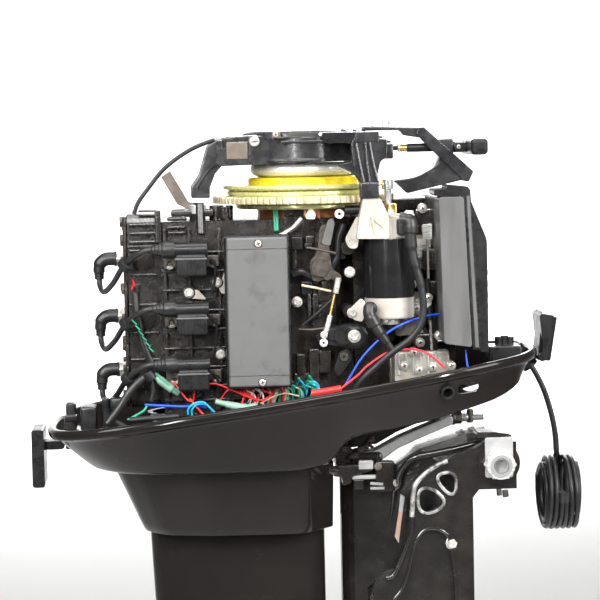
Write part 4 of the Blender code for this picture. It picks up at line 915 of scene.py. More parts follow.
# ribs at the top left, as cast lugs
for zz in (372, 361, 350, 339):
    put(g_box((-226, -68.5, zz - 2.2), (-188, -60, zz + 2.2), 1.6), MT["cast"], body, K)
put(g_box((-177.6, -76.0, 381.6), (-151.9, -66.0, 376.1), 2.5), MT["cast"], body, K)
put(g_box((-177.2, -76.0, 370.6), (-154.1, -66.0, 365.8), 2.5), MT["cast"], body, K)
put(g_box((-176.7, -76.0, 363.2), (-154.3, -66.0, 359.3), 2), MT["cast"], body, K)
put(g_box((-192.8, -75.0, 390.3), (-184.9, -60.0, 348.1), 2), MT["cast"], body, K)
put(g_box((-213.4, -68.0, 390.5), (-189.1, -50.0, 388.0), 1.5), MT["cast"], body, K)
for zz in (225, 315, 405):
    pass
put(g_cyl((-135.2, -60.0, 396.2), (-134.9, -70.0, 357.8), 5.5, 28, 1.5), MT["cast"], body, K)
put(g_cyl((-113.5, -40.0, 393.8), (-113.9, -40.0, 374.2), 9.5, 28, 1.5), MT["cast"], body, K)
put(g_cyl((-96.9, -30.0, 393.1), (-97.4, -30.0, 373.4), 5.0, 28, 1.2), MT["cast"], body, K)
put(g_cyl((-138, -52, 384), (-138, -52, 394.8), 11, 28, 1), MT["alloy"], body, "post_caps")
put(g_box((-172, -60, 380), (-118, 40, 390), 3), MT["cast"], body, K)
put(g_cyl((-104, -58, 378), (-104, -58, 392), 7, 20, 1), MT["cast"], body, K)
# head: cover rim, ribs, bolts and plugs
put(g_box((-234, -66, 140), (-229, 66, 383), 2), MT["cast"], body, K)
for z in (150, 189, 217, 254, 289, 327, 350, 374):
    bolt((-231, -60 if z % 2 else -56, z), (-1, 0, 0), 9.5, 6.5, mat="darkbolt")
    bolt((-234, 0 if z in (150, 289) else 40, z), (-1, 0, 0), 9.5, 6.0, mat="darkbolt")
for z in (326, 252, 182):
    put(g_cyl((-244, 0, z), (-232, 0, z), 10.4, 6, 0.8), MT["zinc"], body, "spark_plugs")
    put(g_cyl((-256, 0, z), (-243, 0, z), 6.2, 24, 0.6), MT["ceramic"], body, "spark_plugs_ceramic")
    for dz in (-18, 18):
        put(g_box((-228, -66.6, z + dz - 2), (-190, -62, z + dz + 2), 1.2), MT["cast"], body, K)
    put(g_cyl((-207, -66, z), (-207, -60, z), 13, 32, 2), MT["cast"], body, K)
# bosses, hoses, straps between the coils and the electronic box
for p in (((-175.2, -92.0, 322.5)), ((-120.6, -92.0, 323.8)), ((-174.5, -92.0, 249.1)), ((-119.8, -92.0, 249.6)), ((-172.5, -92.0, 175.2)), ((-119.4, -92.0, 177.6))):
    put(g_cyl((p[0], -72, p[2]), (p[0], p[1], p[2]), 6.6, 24, 0.8), MT["cast"], body, K)
    bolt(p, (0, -1, 0), 9.0, 5.0, wr=6.6)
for p, r in (((-151.7, -90.0, 285.8), 1), ((-113.7, -90.0, 207.1), 1), ((-116.1, -90.0, 298.4), 1)):
    put(g_cyl((p[0], -72, p[2]), (p[0], p[1], p[2]), 8.2, 24, 1), MT["rubber"], body, "isolators")
    bolt(p, (0, -1, 0), 8.5, 4.6, wr=6.0)
put(g_prism("y", [(-157.0, 279.3), (-149.7, 290.1), (-140.0, 289.2), (-130.7, 278.6), (-131.4, 276.7)], -89.5, -87.5, 0.6), MT["beige"], body,
    "coil_bracket_plate")
put(g_prism("y", [(-114.9, 292.4), (-106.1, 311.6), (-105.5, 283.2), (-110.6, 283.9)], -89.5, -87.5, 0.6), MT["beige"], body, "coil_bracket_plate")
# head side: vertical hose and orange seal
put(g_tube([(-220.0, -70.0, 286.0), (-218.6, -72.0, 265.4), (-214.7, -74.0, 242.1), (-211.4, -76.0, 220.1), (-198.0, -78.0, 187.3)], 4.4, 14, 40), MT["lead"], body, "cooling_hose")
put(g_tube([(-216.6, -78.0, 264.5), (-213.3, -80.0, 243.9), (-209.9, -80.0, 223.0), (-194.2, -84.0, 182.7)], 2.4, 12, 30), MT["lead"], body, "cooling_hose")
put(g_tube([(-223.9, -66.0, 289.7), (-221.7, -66.0, 297.4), (-222.9, -66.0, 302.7), (-218.6, -66.0, 293.5)], 1, 10, 20), MT["red"], body, "sensor_wire")
put(g_box((-219.8, -68.0, 297.5), (-212.5, -60.0, 285.1), 2), MT["plastic"], body, "sensor_plug")

# ignition coils with their straps, boots and lead
for tag, z in (("top", 326), ("middle", 252), ("bottom", 182)):
    bm = g_box((-168, -125, z - 17), (-129, -92.5, z + 10), 3.5, 3)
    solo(bm, "coil_body_" + tag, "plastic", body, ("ignition_coil_" + tag,), smooth=45)
    put(g_cyl((-171, -110, z + 15), (-127.5, -110, z + 15), 9.2, 36, 1.2), MT["plastic"], body, "coil_cores")
    put(g_box((-168.5, -125.6, z + 3.4), (-128.6, -122, z + 5.6), 0.8), MT["cdi"], body, "coil_seams")
    for k in range(9):
        put(g_box((-165 + 4.1 * k, -125.5, z - 15), (-164.2 + 4.1 * k, -124.6, z + 1), 0.3), MT["plastic"], body, "coil_ribs")
    put(g_box((-183, -97, z - 7), (-113, -92.6, z + 7), 1.5), MT["darkbolt"], body, "coil_straps")
    put(g_lathe((-168, -110, z + 16), (-1, 0, 0), round_prof([(0, 0), (9.6, 0), (10.4, 3), (10.6, 9), (9.8, 15), (8.2, 17), (8.2, 20), (6.8, 21),
        (7.2, 24), (5.8, 26), (5.8, 28), (4.6, 30), (0, 30)], 0.6), 36), MT["lead"], body, "coil_boots")
    lead = [(-267, 0, z - 24), (-266, -6, z - 34), (-260, -24, z - 41), (-247, -60, z - 27), (-236, -84, z - 9), (-222, -100, z + 6),
            (-206, -109, z + 15), (-192.4, -110, z + 16.5)]
    solo(g_tube(lead, 3.7, 16, 64), "plug_lead_" + tag, "lead", body, ("spark_plug_lead_" + tag,), smooth=60, wn=False)
    put(g_tube([(-243.5, 0, z), (-256, 0, z), (-263, 0, z - 3.4), (-266.6, 0, z - 10), (-267, 0, z - 26)], [8.8, 8.8, 8.6, 7.6, 6.0], 24, 30),
        MT["lead"], body, "plug_caps")
    put(g_cyl((-243.4, 0, z), (-247, 0, z), 9.8, 32, 1), MT["lead"], body, "plug_caps")
    for k in range(3):
        put(g_lathe((-267, 0, z - 14 - 4.5 * k), (0, 0, -1), [(4, 0), (7.4 - 0.5 * k, 0.4), (7.4 - 0.5 * k, 1.8), (4, 2.4)], 24, ring=True), MT["lead"], body,
            "plug_caps")
    put(g_lathe((-231, -92, z - 3), (0.66, -0.45, 0.6), round_prof([(3.4, -5), (9.4, -5), (9.4, 5), (3.4, 5), (3.4, -5)], 1.6)[:-1], 32, ring=True),
        MT["rubber"], body, "lead_clamps")
    put(g_tube([(-231, -86, z - 3), (-226, -76, z - 1), (-220, -66, z)], 4.2, 14, 12), MT["rubber"], body, "lead_clamps")
    put(g_tube([(-124, -100, z + 2), (-118, -98, z - 8), (-120, -96, z - 30), (-124, -94, z - 44)], 1.7, 10, 24), MT["lead"], body, "coil_wires")

# electronic box
bm = g_box((-104.5, -134, 169), (-28.5, -99, 356), 3, 3)
solo(bm, "cdi_case", "cdi", body, ("cdi_unit",), smooth=45)
put(g_box((-107, -131, 167), (-26, -98.5, 358), 3, 3), MT["plastic"], body, "cdi_frame")
for z in (341.5, 183.5):
    put(g_box((-104.6, -134.25, z - 0.55), (-28.4, -133.0, z + 0.55), 0.2), MT["darkbolt"], body, "cdi_seams")
for p in ((-64.9, -134.0, 348.1), (-63.1, -134.0, 174.7)):
    put(g_cyl((p[0], -132, p[2]), (p[0], -134.6, p[2]), 5.6, 28, 0.5), MT["darkbolt"], body, "cdi_seams")
    screw((p[0], -134.2, p[2]), (0, -1, 0), 4.0, 0.8)

# levers and links
p = (14.3, -100.0, 311.9)
put(g_prism("y", rounded([(3.4, 297.8), (7.9, 323.5), (10.5, 328.3), (21.8, 328.0), (24.7, 315.1), (39.1, 305.0), (42.2, 300.1),
    (35.7, 295.4), (22.8, 300.6), (13.0, 296.0)], 3, 3), -92, -88, 0.8), MT["darkbolt"], "advance", "advance_plate")
put(g_prism("y", rounded([(16.3, 343.6), (24.9, 373.2), (31.5, 377.0), (33.7, 369.7), (27.5, 340.9)], 3, 3), -95, -90, 0.8), MT["cdi"], body, "advance_strap")
put(g_box((-4.2, -84.0, 344.5), (5.0, -78.0, 338.3), 1.2), MT["plastic"], body, "advance_block")
put(g_tube([(-2.2, -90.0, 339.6), (13.7, -92.0, 336.7), (34.6, -92.0, 331.4)], 1.8, 12), MT["darkbolt"], body, "link_rods")
put(g_tube([(-9.7, -90.0, 292.0), (9.5, -92.0, 288.1), (27.2, -92.0, 283.6)], 1.7, 12), MT["ring"], body, "link_rods")
put(g_tube([(31.7, -96.0, 279.8), (25.5, -96.0, 253.3)], 1.9, 12), MT["brass"], body, "link_rods")
put(g_tube([(36.8, -97.0, 300.7), (33.0, -96.0, 281.4)], 3.6, 14), MT["zinc"], body, "link_ends")
put(g_tube([(25.5, -96.0, 253.3), (21.3, -98.0, 238.2), (17.2, -98.0, 226.2)], 3.3, 14), MT["zinc"], body, "link_ends")
put(g_lathe((16.2, -104.0, 219.5), (0, 1, 0), round_prof([(1.6, 0), (5.2, 0), (5.2, 5), (1.6, 5), (1.6, 0)], 0.8)[:-1], 28, ring=True), MT["silver"], body, "link_ends")
put(g_lathe((16.9, -104.0, 229.2), (0, 1, 0), round_prof([(0, 0), (4.4, 0.4), (5.0, 3), (4.4, 5.6), (0, 6)], 0.8), 28), MT["zinc"], body, "link_ends")
put(g_tube([(-13.9, -88.0, 235.8), (2.1, -90.0, 235.1), (24.8, -90.0, 237.4)], 1.9, 12), MT["darkbolt"], body, "link_rods")
put(g_tube([(-8.9, -86.0, 241.2), (10.8, -88.0, 257.0), (28.9, -88.0, 272.8)], 2.0, 12), MT["rubber"], body, "small_hoses")
put(g_tube([(45.9, -80.0, 367.4), (39.1, -80.0, 349.7), (37.1, -80.0, 328.7), (30.4, -79.0, 314.3)], 4.4, 14, 24), MT["lead"], body, "small_hoses")
put(g_tube([(-20.2, -82.0, 306.0), (-8.9, -84.0, 309.1), (3.9, -84.0, 302.3)], 5.0, 14, 20), MT["lead"], body, "small_hoses")
bolt((14.8, -93.0, 311.5), (0, -1, 0), 10.5, 6.0, wr=8.6, body="advance")
put(g_lathe((57.4, -95.0, 225.6), (0, -1, 0), round_prof([(0, 0), (15.5, 0), (15.5, 6), (11, 8), (0, 8)], 1), 48), MT["plastic"], "throttle", "throttle_hub")
put(g_prism("y", rounded([(22.6, 236.5), (40.4, 236.1), (53.4, 241.4), (52.8, 210.7), (40.0, 219.9), (23.1, 222.8)], 4, 3), -101, -94, 1.2),
    MT["plastic"], "throttle", "throttle_arm")
bolt((55.1, -103.0, 226.8), (0, -1, 0), 10.5, 5.6, wr=8.2, body="throttle")
for p in ((-15.9, -92.0, 271.0), (51.4, -94.0, 307.4), (53.8, -98.0, 346.2), (53.5, -100.0, 256.1)):
    put(g_cyl((p[0], -74, p[2]), (p[0], p[1], p[2]), 6.8, 28, 1), MT["cast"], body, K)
    bolt(p, (0, -1, 0), 9.5, 5.4, wr=6.8)
put(g_lathe((39.3, -96.0, 381.3), (0, -1, 0), round_prof([(2, 0), (5.8, 0), (5.8, 7), (2, 7), (2, 0)], 0.8)[:-1], 28, ring=True), MT["white"], body, "rollers")
put(g_cyl((47.1, -90.0, 385.4), (69.7, -90.0, 385.7), 5.6, 24, 1), MT["plastic"], body, "rollers_arm")
put(g_prism("y", [(-2.6, 379.9), (4.4, 391.9), (10.6, 381.2), (9.4, 374.8), (-1.1, 375.1)], -86, -82, 0.8), MT["white"], body, "arrow_clip")
put(g_tube([(-38.9, -70.0, 390.0), (-38.5, -74.0, 378.8), (-38.2, -78.0, 361.2)], 2.3, 10, 12), MT["green"], body, "pickup_wires")
put(g_tube([(-41.4, -72.0, 390.1), (-41.3, -76.0, 378.9), (-41.2, -80.0, 361.3)], 1.4, 10, 12), MT["green"], body, "pickup_wires")
put(g_tube([(-7.5, -84.0, 376.8), (-17.4, -84.0, 365.8), (-27.4, -86.0, 359.6), (-35.7, -90.0, 355.2)], 2.6, 10, 20), MT["zinc"], body, "braid")
put(g_tube([(-5.3, -86.0, 372.8), (-14.4, -86.0, 364.2), (-24.3, -88.0, 358.4)], 1.6, 10, 20), MT["lead"], body, "braid_wire")
for x0, y0, x1, y1, m__ in ((605, 735, 635, 920, "cast"), (645, 735, 690, 920, "cast"), (690, 820, 725, 930, "cast"), (620, 1170, 700, 1490, "cast"),
                            (520, 1210, 590, 1360, "cast"), (700, 1180, 790, 1350, "cast"), (480, 290, 565, 385, "plastic"), (590, 280, 655, 340, "cast")):
    pass
put(g_box((-2.3, -84.0, 280.6), (2.8, -70.0, 249.2), 2), MT["cast"], body, "casting_lumps_cast")
put(g_box((4.2, -84.0, 280.4), (11.8, -70.0, 249.0), 2), MT["cast"], body, "casting_lumps_cast")
put(g_box((11.2, -84.0, 266.4), (17.5, -70.0, 247.2), 2), MT["cast"], body, "casting_lumps_cast")
put(g_box((-1.3, -84.0, 209.9), (11.5, -70.0, 155.8), 2), MT["cast"], body, "casting_lumps_cast")
put(g_box((-17.4, -80.0, 203.4), (-5.8, -66.0, 177.1), 2), MT["cast"], body, "casting_lumps_cast")
put(g_box((11.9, -80.0, 207.5), (27.0, -66.0, 177.9), 2), MT["cast"], body, "casting_lumps_cast")
put(g_box((-20.9, -84.0, 353.0), (-6.7, -70.0, 336.5), 2), MT["plastic"], body, "casting_lumps_plastic")
put(g_box((-3.2, -84.0, 354.1), (8.0, -70.0, 343.5), 2), MT["cast"], body, "casting_lumps_cast")
put(g_box((-9.0, -80.0, 295.8), (4.5, -66.0, 279.1), 2), MT["plastic"], body, "casting_lumps_plastic")
put(g_box((15.8, -86.0, 297.2), (27.0, -72.0, 284.6), 2), MT["cast"], body, "casting_lumps_cast")
put(g_box((11.7, -82.0, 285.7), (26.2, -68.0, 269.7), 2), MT["cast"], body, "casting_lumps_cast")
put(g_box((-21.1, -78.0, 178.8), (-1.1, -64.0, 157.1), 2), MT["cast"], body, "casting_lumps_cast")
put(g_box((-20.9, -76.0, 335.6), (-14.2, -62.0, 307.8), 2), MT["cast"], body, "casting_lumps_cast")
put(g_box((-28.6, -60.0, 389.4), (-2.0, -46.0, 376.9), 2), MT["cast"], body, "casting_lumps_cast")
put(g_box((-29.4, -70.0, 378.4), (-3.0, -56.0, 359.3), 2), MT["cast"], body, "casting_lumps_cast")
put(g_box((0.6, -88.0, 157.4), (32.2, -74.0, 144.2), 2), MT["cast"], body, "casting_lumps_cast")
put(g_box((40.8, -78.0, 344.7), (47.9, -64.0, 322.7), 2), MT["cast"], body, "casting_lumps_cast")
# throttle cam below the lever
put(g_prism("y", rounded([(29.2, 182.3), (37.0, 206.4), (48.4, 209.4), (53.0, 197.9), (43.0, 183.5), (34.8, 174.8)], 3, 3), -92, -86, 1),
    MT["plastic"], body, "throttle_cam")
put(g_lathe((42.6, -91.5, 199.7), (0, -1, 0), round_prof([(1.6, 0), (5.6, 0), (5.6, 2.4), (1.6, 2.4), (1.6, 0)], 0.6)[:-1], 24, ring=True), MT["darkbolt"], body, "cam_boss")

# starter motor: cast ends, painted barrel, terminals
ST = (102.5, -80.0)
solo(g_lathe((ST[0], ST[1], 0), (0, 0, 1), round_prof([(0, 274), (32.6, 274), (32.6, 349), (0, 349)], 1.2), 72), "starter_barrel", "starter", body,
     ("starter_motor",), smooth=50)
put(g_lathe((ST[0], ST[1], 0), (0, 0, 1), round_prof([(0, 247), (12, 246), (13, 247.5), (30.6, 247.5), (31.6, 250), (31.6, 274.4), (0, 274.4)], 1.0), 64),
    MT["beige"], body, "starter_ends")
put(g_lathe((ST[0], ST[1], 0), (0, 0, 1), round_prof([(0, 348.6), (31.4, 348.6), (31.6, 352), (31.0, 372), (28, 376), (0, 376)], 1.0), 64), MT["beige"], body,
    "starter_ends")
put(g_prism("y", rounded([(68.7, 401.9), (87.7, 401.5), (91.7, 397.6), (100.8, 375.9), (100.4, 349.2), (59.1, 350.1), (62.5, 375.3)], 3, 3), -117.6, -100, 1.6),
    MT["beige"], body, "starter_ends")
put(g_prism("y", rounded([(100.7, 375.6), (126.2, 375.0), (125.8, 350.5), (100.3, 351.1)], 3, 3), -112, -60, 1.6), MT["beige"], body, "starter_ends")
for a, b in (((140, 430), (130, 470)), ((140, 430), (150, 500)), ((140, 430), (185, 468))):
    pass
put(g_tube([(79.3, -118.0, 376.5), (75.3, -118.0, 363.6)], [2.2, 0.8], 10), MT["beige"], body, "starter_ends")
put(g_tube([(79.3, -118.0, 376.5), (81.5, -118.0, 353.4)], [2.2, 0.8], 10), MT["beige"], body, "starter_ends")
put(g_tube([(79.3, -118.0, 376.5), (92.6, -118.0, 363.8)], [2.2, 0.8], 10), MT["beige"], body, "starter_ends")
put(g_prism("y", rounded([(45.4, 349.1), (61.9, 379.1), (67.5, 371.7), (61.1, 337.2), (50.9, 337.4)], 4, 3), -103, -96, 1.2), MT["beige"], body, "starter_ears")
put(g_prism("y", rounded([(45.0, 256.3), (64.3, 274.7), (70.0, 270.2), (66.6, 244.1), (55.0, 247.4)], 4, 3), -103, -96, 1.2), MT["beige"], body, "starter_ears")
put(g_cyl((ST[0], ST[1], 239), (ST[0], ST[1], 248), 12.6, 40, 1.2), MT["silver"], body, "starter_shaft")
put(g_cyl((ST[0], ST[1], 375), (ST[0], ST[1], 424), 5.0, 32, 0.8), MT["chrome"], body, "starter_shaft")
put(g_cyl((ST[0], ST[1], 410.5), (ST[0], ST[1], 423.6), 7.6, 32, 1), MT["chrome"], body, "starter_shaft")
put(g_cyl((ST[0], ST[1], 375), (ST[0], ST[1], 379), 16, 36, 1), MT["beige"], body, "starter_ends")
for a in (0.5, 2.6, 4.4):
    bolt((ST[0] + 24 * math.cos(a), ST[1] + 24 * math.sin(a), 247.4), (0, 0, -1), 6, 4, mat="zinc")
    screw((ST[0] + 25 * math.cos(a), ST[1] + 25 * math.sin(a), 376), (0, 0, 1), 3.6, 2.2)
bolt((103.3, -112.0, 380.6), (0, 0, 1), 8, 5)
bolt((128.6, -100.0, 377.5), (0, 0, 1), 8, 6)
# main cable boot and cable
put(g_tube([(114.3, -116.0, 373.6), (122.2, -118.0, 372.9), (126.5, -120.0, 368.3), (126.2, -120.0, 348.2)], [8, 9, 9.4, 7.5], 20, 24), MT["lead"], body, "starter_cable_boot")
put(g_box((109.7, -122.0, 374.5), (133.1, -108.0, 353.2), 4, 3), MT["lead"], body, "starter_cable_boot")
put(g_tube([(125.8, -120.0, 359.7), (129.3, -120.0, 325.1), (137.4, -120.0, 296.0), (141.1, -120.0, 270.0), (138.6, -120.0, 244.0), (125.3, -119.0, 224.0), (102.0, -118.0, 207.1), (78.6, -116.0, 187.2),
            (62.6, -114.0, 172.9), (52.5, -110.0, 158.2)], [7.5, 6.2, 5.4, 4.7, 4.5, 4.5, 4.5, 4.5, 4.5, 4.5], 16, 90), MT["rubber"], body, "starter_cable")
put(g_tube([(74.1, -118.0, 264.3), (73.2, -120.0, 255.8), (79.3, -120.0, 242.7), (89.2, -119.0, 226.4), (100.8, -116.0, 209.9)], [8.0, 8.8, 7.2, 6.6, 5.0], 20, 40), MT["lead"], body, "terminal_boot")
put(g_lathe((74.6, -118.0, 262.3), (0, -1, 0), round_prof([(0, -2), (9.0, -2), (9.0, 2), (7, 5), (0, 6)], 1.2), 32), MT["lead"], body, "terminal_boot")

# carburettors and linkage behind the silencer
for z in (326, 252, 182):
    put(g_cyl((108, 0, z), (163, 0, z), 21.5, 40, 1.5), MT["carb"], body, "carb_bodies")
    put(g_box((114, -30, z - 34), (152, 26, z - 7), 4), MT["carb"], body, "carb_bowls")
    put(g_box((112, -33, z - 9), (154, 28, z - 5.5), 1.2), MT["carb"], body, "carb_bowls")
    for x in (117, 149):
        screw((x, -33.4, z - 10), (0, -1, 0), 2.6, 1.6)
        put(g_cyl((x, -27, z - 30), (x, -27, z - 4), 3.4, 16, 0.6), MT["carb"], body, "carb_bowls")
    put(g_cyl((132, 0, z + 10), (132, 0, z + 33), 11, 36, 1.5), MT["plastic"], body, "carb_caps")
    put(g_box((105, -30, z - 25), (111.5, 30, z + 25), 4), MT["carb"], body, "carb_flanges")
    put(g_cyl((138, -44, z + 3), (138, -20, z + 3), 4.2, 20, 0.6), MT["zinc"], body, "carb_spindles")
    put(g_prism("y", rounded([(128, z - 2), (148, z - 6), (152, z + 4), (138, z + 11), (130, z + 8)], 2, 3), -44, -41.5, 0.6), MT["zinc"], body, "carb_levers")
    screw((138, -44, z + 3), (0, -1, 0), 3.2, 2.0)
    put(g_cyl((126, -40, z + 16), (126, -24, z + 16), 3.0, 16, 0.5), MT["brass"], body, "carb_jets")
    put(g_lathe((119, -36, z - 20), (0, -1, 0), round_prof([(0, 0), (5, 0), (5, 4), (3.6, 5), (0, 5)], 0.5), 24), MT["brass" if z == 182 else "zinc"], body,
        "drain_plugs")
    put(g_tube([(150, -28, z - 20), (160, -30, z - 40), (158, -30, z - 66)], 3.2, 12, 20), MT["rubber"], body, "fuel_hoses")
put(g_tube([(154.7, -60.0, 359.3), (155.1, -60.0, 291.6), (156.3, -60.0, 244.3), (158.0, -60.0, 202.8)], 1.7, 12), MT["zinc"], body, "choke_rod")
put(g_tube([(153.6, -60.0, 294.5), (156.3, -60.0, 241.3)], 4.0, 14), MT["rubber"], body, "choke_rod_sleeve")
put(g_prism("y", rounded([(147.2, 363.9), (160.5, 365.1), (160.1, 344.5), (148.3, 344.8)], 2, 3), -64, -60, 0.8), MT["silver"], body, "carb_plate")
put(g_prism("y", rounded([(132.2, 265.7), (157.5, 275.4), (158.2, 262.1), (142.3, 247.8), (133.5, 250.9)], 2, 3), -64, -60, 0.8), MT["silver"], body, "carb_plate")
put(g_box((148.9, -55.0, 332.7), (169.5, -40.0, 304.7), 3), MT["cast"], body, "carb_blocks")
put(g_box((149.7, -55.0, 291.4), (171.1, -40.0, 272.0), 3), MT["cast"], body, "carb_blocks")
put(g_box((140.9, -55.0, 382.9), (168.9, -40.0, 361.0), 3), MT["cast"], body, "carb_blocks")
for q in ((148.5, -66.0, 384.6), (133.2, -70.0, 288.4), (154.0, -66.0, 269.9), (138.6, -70.0, 257.4), (130.3, -70.0, 376.4), (133.8, -70.0, 200.9), (120.9, -72.0, 184.3), (140.0, -72.0, 177.9),
          (157.8, -72.0, 181.8), (167.1, -66.0, 220.9), (142.3, -70.0, 213.1), (181.7, -70.0, 182.5)):
    put(g_cyl((q[0], q[1] + 14, q[2]), q, 6.0, 20, 0.8), MT["carb"], body, "carb_small")
    screw(q, (0, -1, 0), 4.0, 2.6)
put(g_box((108.6, -66.0, 201.7), (180.7, -40.0, 161.3), 4), MT["carb"], body, "carb_blocks_low")
put(g_box((137.7, -60.0, 224.1), (166.3, -40.0, 197.6), 4), MT["cast"], body, "carb_blocks")
for i in range(6):
    q = (112.7, -68.0, 195.9)
    put(g_box((q[0] + i * 9.5, -69, q[2] - 24 + 4 * (i % 2)), (q[0] + i * 9.5 + 3, -62, q[2] + 6), 1), MT["alloy"], body, "carb_ribs")

# silencer
bm = g_prism("y", rounded([(163.0, 400.4), (194.7, 400.3), (202.3, 210.4), (167.3, 215.6)], 4, 3), -119.6, 61, 2.2, 3)
solo(bm, "silencer_shell", "silencer", body, ("silencer_box",), smooth=45)
put(g_prism("y", [(194.9, 409.8), (203.0, 409.6), (212.2, 207.2), (202.9, 207.4)], -119.9, 61, 1.2), MT["plastic"], body, "silencer_frame")
put(g_prism("y", [(194.9, 399.7), (197.2, 399.7), (205.1, 210.4), (202.8, 210.5)], -120, -119, 0.3), MT["plastic"], body, "silencer_frame")
put(g_prism("y", [(197.8, 401.1), (201.8, 401.0), (210.9, 210.2), (206.3, 210.4)], -120, -118, 0.3), MT["silencer"], body, "silencer_strip")
put(g_prism("y", rounded([(156.8, 410.0), (173.2, 410.2), (173.3, 415.4), (200.7, 412.5), (202.8, 401.0), (157.2, 402.0)], 2, 3), -119.8, -66, 1), MT["plastic"],
    body, "silencer_cap")
bm = g_prism("y", rounded([(202.2, 398.1), (222.9, 345.8), (223.2, 204.0), (211.5, 204.3)], 4, 3), -119.4, 61, 2.0, 3)
solo(bm, "silencer_front", "plastic", body, ("silencer_cover",), smooth=45)
for k in range(4):
    q = (222.3, -119.0, 308.3)
    put(g_box((q[0] - 1.5, -119.5, q[2] - 8 - 14 * k), (q[0] + 1.2, 61, q[2] - 14 * k), 1.0), MT["plastic"], body, "silencer_ribs")

# tray contents
put(g_tube([(-173.8, -100.0, 174.8), (-157.7, -104.0, 152.9), (-150.0, -106.0, 151.6), (-147.2, -108.0, 163.4), (-136.8, -108.0, 170.4), (-121.4, -108.0, 171.7), (-103.6, -110.0, 165.0), (-83.4, -112.0, 155.7), (-65.5, -112.0, 150.0),
            (-52.4, -108.0, 154.3)], 1.2, 10, 80), MT["red"], body, "wires_red")
put(g_tube([(-116.7, -104.0, 149.2), (-104.8, -106.0, 163.3), (-85.7, -106.0, 158.4), (-70.6, -108.0, 148.4)], 1, 10, 50), MT["red"], body, "wires_red")
put(g_tube([(-88.5, -106.0, 146.0), (-83.1, -106.0, 160.1), (-85.6, -104.0, 161.2), (-70.4, -106.0, 150.7)], 0.95, 10, 50), MT["red"], body, "wires_red")
put(g_tube([(-153.8, -104.0, 154.1), (-147.6, -108.0, 145.4), (-137.7, -110.0, 133.7)], 1.2, 10, 30), MT["red"], body, "wires_red")
put(g_tube([(-1.8, -122.0, 158.0), (16.2, -122.0, 160.0), (35.6, -122.0, 163.1)], 4.6, 14, 20), MT["red"], body, "red_sleeve")
put(g_tube([(35.6, -122.0, 163.1), (57.9, -120.0, 179.8), (69.8, -118.0, 190.6), (97.8, -116.0, 207.0), (131.4, -114.0, 208.9), (151.9, -112.0, 199.4), (168.1, -108.0, 184.0)], 1.3, 10, 90), MT["pink"], body,
    "wire_pink")
put(g_tube([(-210.4, -100.0, 146.6), (-188.6, -104.0, 145.5), (-163.0, -106.0, 144.0), (-145.1, -106.0, 144.5), (-133.6, -106.0, 142.1)], 1.8, 12, 40), MT["blue"], body, "wire_blue")
put(g_tube([(-156.9, -110.0, 134.3), (-155.9, -112.0, 142.2), (-147.6, -114.0, 148.7), (-137.4, -114.0, 149.7), (-129.8, -112.0, 142.8), (-123.5, -110.0, 135.9)], 1.4, 12, 50), MT["cyan"], body, "wire_cyan")
put(g_tube([(-151.8, -112.0, 133.1), (-151.6, -113.0, 140.9), (-143.8, -114.0, 147.3), (-132.3, -112.0, 145.4), (-126.1, -110.0, 137.3)], 1.1, 12, 50), MT["cyan"], body, "wire_cyan")
put(g_tube([(-232.7, -100.0, 128.6), (-222.2, -102.0, 133.8), (-211.8, -102.0, 140.0), (-207.8, -100.0, 146.6)], 1.6, 12, 30), MT["green"], body, "wire_green")
put(g_tube([(-199.1, -100.0, 185.9), (-187.9, -102.0, 175.5), (-177.8, -104.0, 167.7), (-167.7, -104.0, 160.4)], [4.5, 5.6, 5.6, 4.0], 12, 30), MT["sleeve"], body, "harness_sleeve")
for k in range(7):
    put(g_tube([(-196.5, -105.0, 186.3), (-182.8, -108.0, 173.4), (-169.0, -108.0, 162.0)], 0.9, 8, 12) if k == 0 else g_tube([(-228 + 4 * k, -106 - (k % 3), 262 - 7 * k),
        (-222 + 4 * k, -108, 256 - 7 * k)], 0.9, 8), MT["green"], body, "harness_threads")
put(g_tube([(-121.8, -104.0, 149.3), (-104.0, -106.0, 144.4), (-86.1, -108.0, 141.6), (-70.7, -108.0, 143.7)], [3.6, 4.6, 4.6, 3.4], 12, 30), MT["sleeve"], body, "harness_sleeve")
put(g_tube([(-65.5, -108.0, 145.6), (-49.9, -108.0, 153.0), (-34.4, -108.0, 157.2), (-16.4, -108.0, 153.3)], 1.1, 10, 30), MT["anode"], body, "wire_tan")
rnd = 12345
GW = []
for i in range(26):
    rnd = (rnd * 1103515245 + 12345) % 2147483648
    u = (rnd / 2147483648.0)
    rnd = (rnd * 1103515245 + 12345) % 2147483648
    v = (rnd / 2147483648.0)
    x0 = -120 + 140 * u
    mcol = ("green", "sleeve", "red", "lead", "white", "cyan", "rubber", "green")[i % 8]
    z0 = 152 + 0.11 * (x0 + 120) + 6 * v
    put(g_tube([(x0 - 6, -96, z0 - 20), (x0 - 3 + 9 * v, -100, z0 + 4 * v), (x0 + 8 * u, -104 - 4 * v, z0 + 8 * v), (x0 + 12, -101, z0 - 4),
                (x0 + 15 - 9 * v, -98, z0 - 24)], 1.0 + 0.5 * u, 8, 24), MT[mcol], body, "harness_" + mcol)
put(g_tube([(42.1, -116.0, 167.9), (64.3, -118.0, 202.3), (90.7, -119.0, 227.8), (114.4, -116.0, 241.4), (145.3, -100.0, 249.4), (165.5, -90.0, 251.0)], 1.4, 12, 60), MT["blue"], body, "wire_blue")
put(g_tube([(196.7, -100.0, 205.7), (197.1, -104.0, 191.5), (198.4, -106.0, 182.9)], 1.2, 10, 20), MT["blue"], body, "wire_blue")
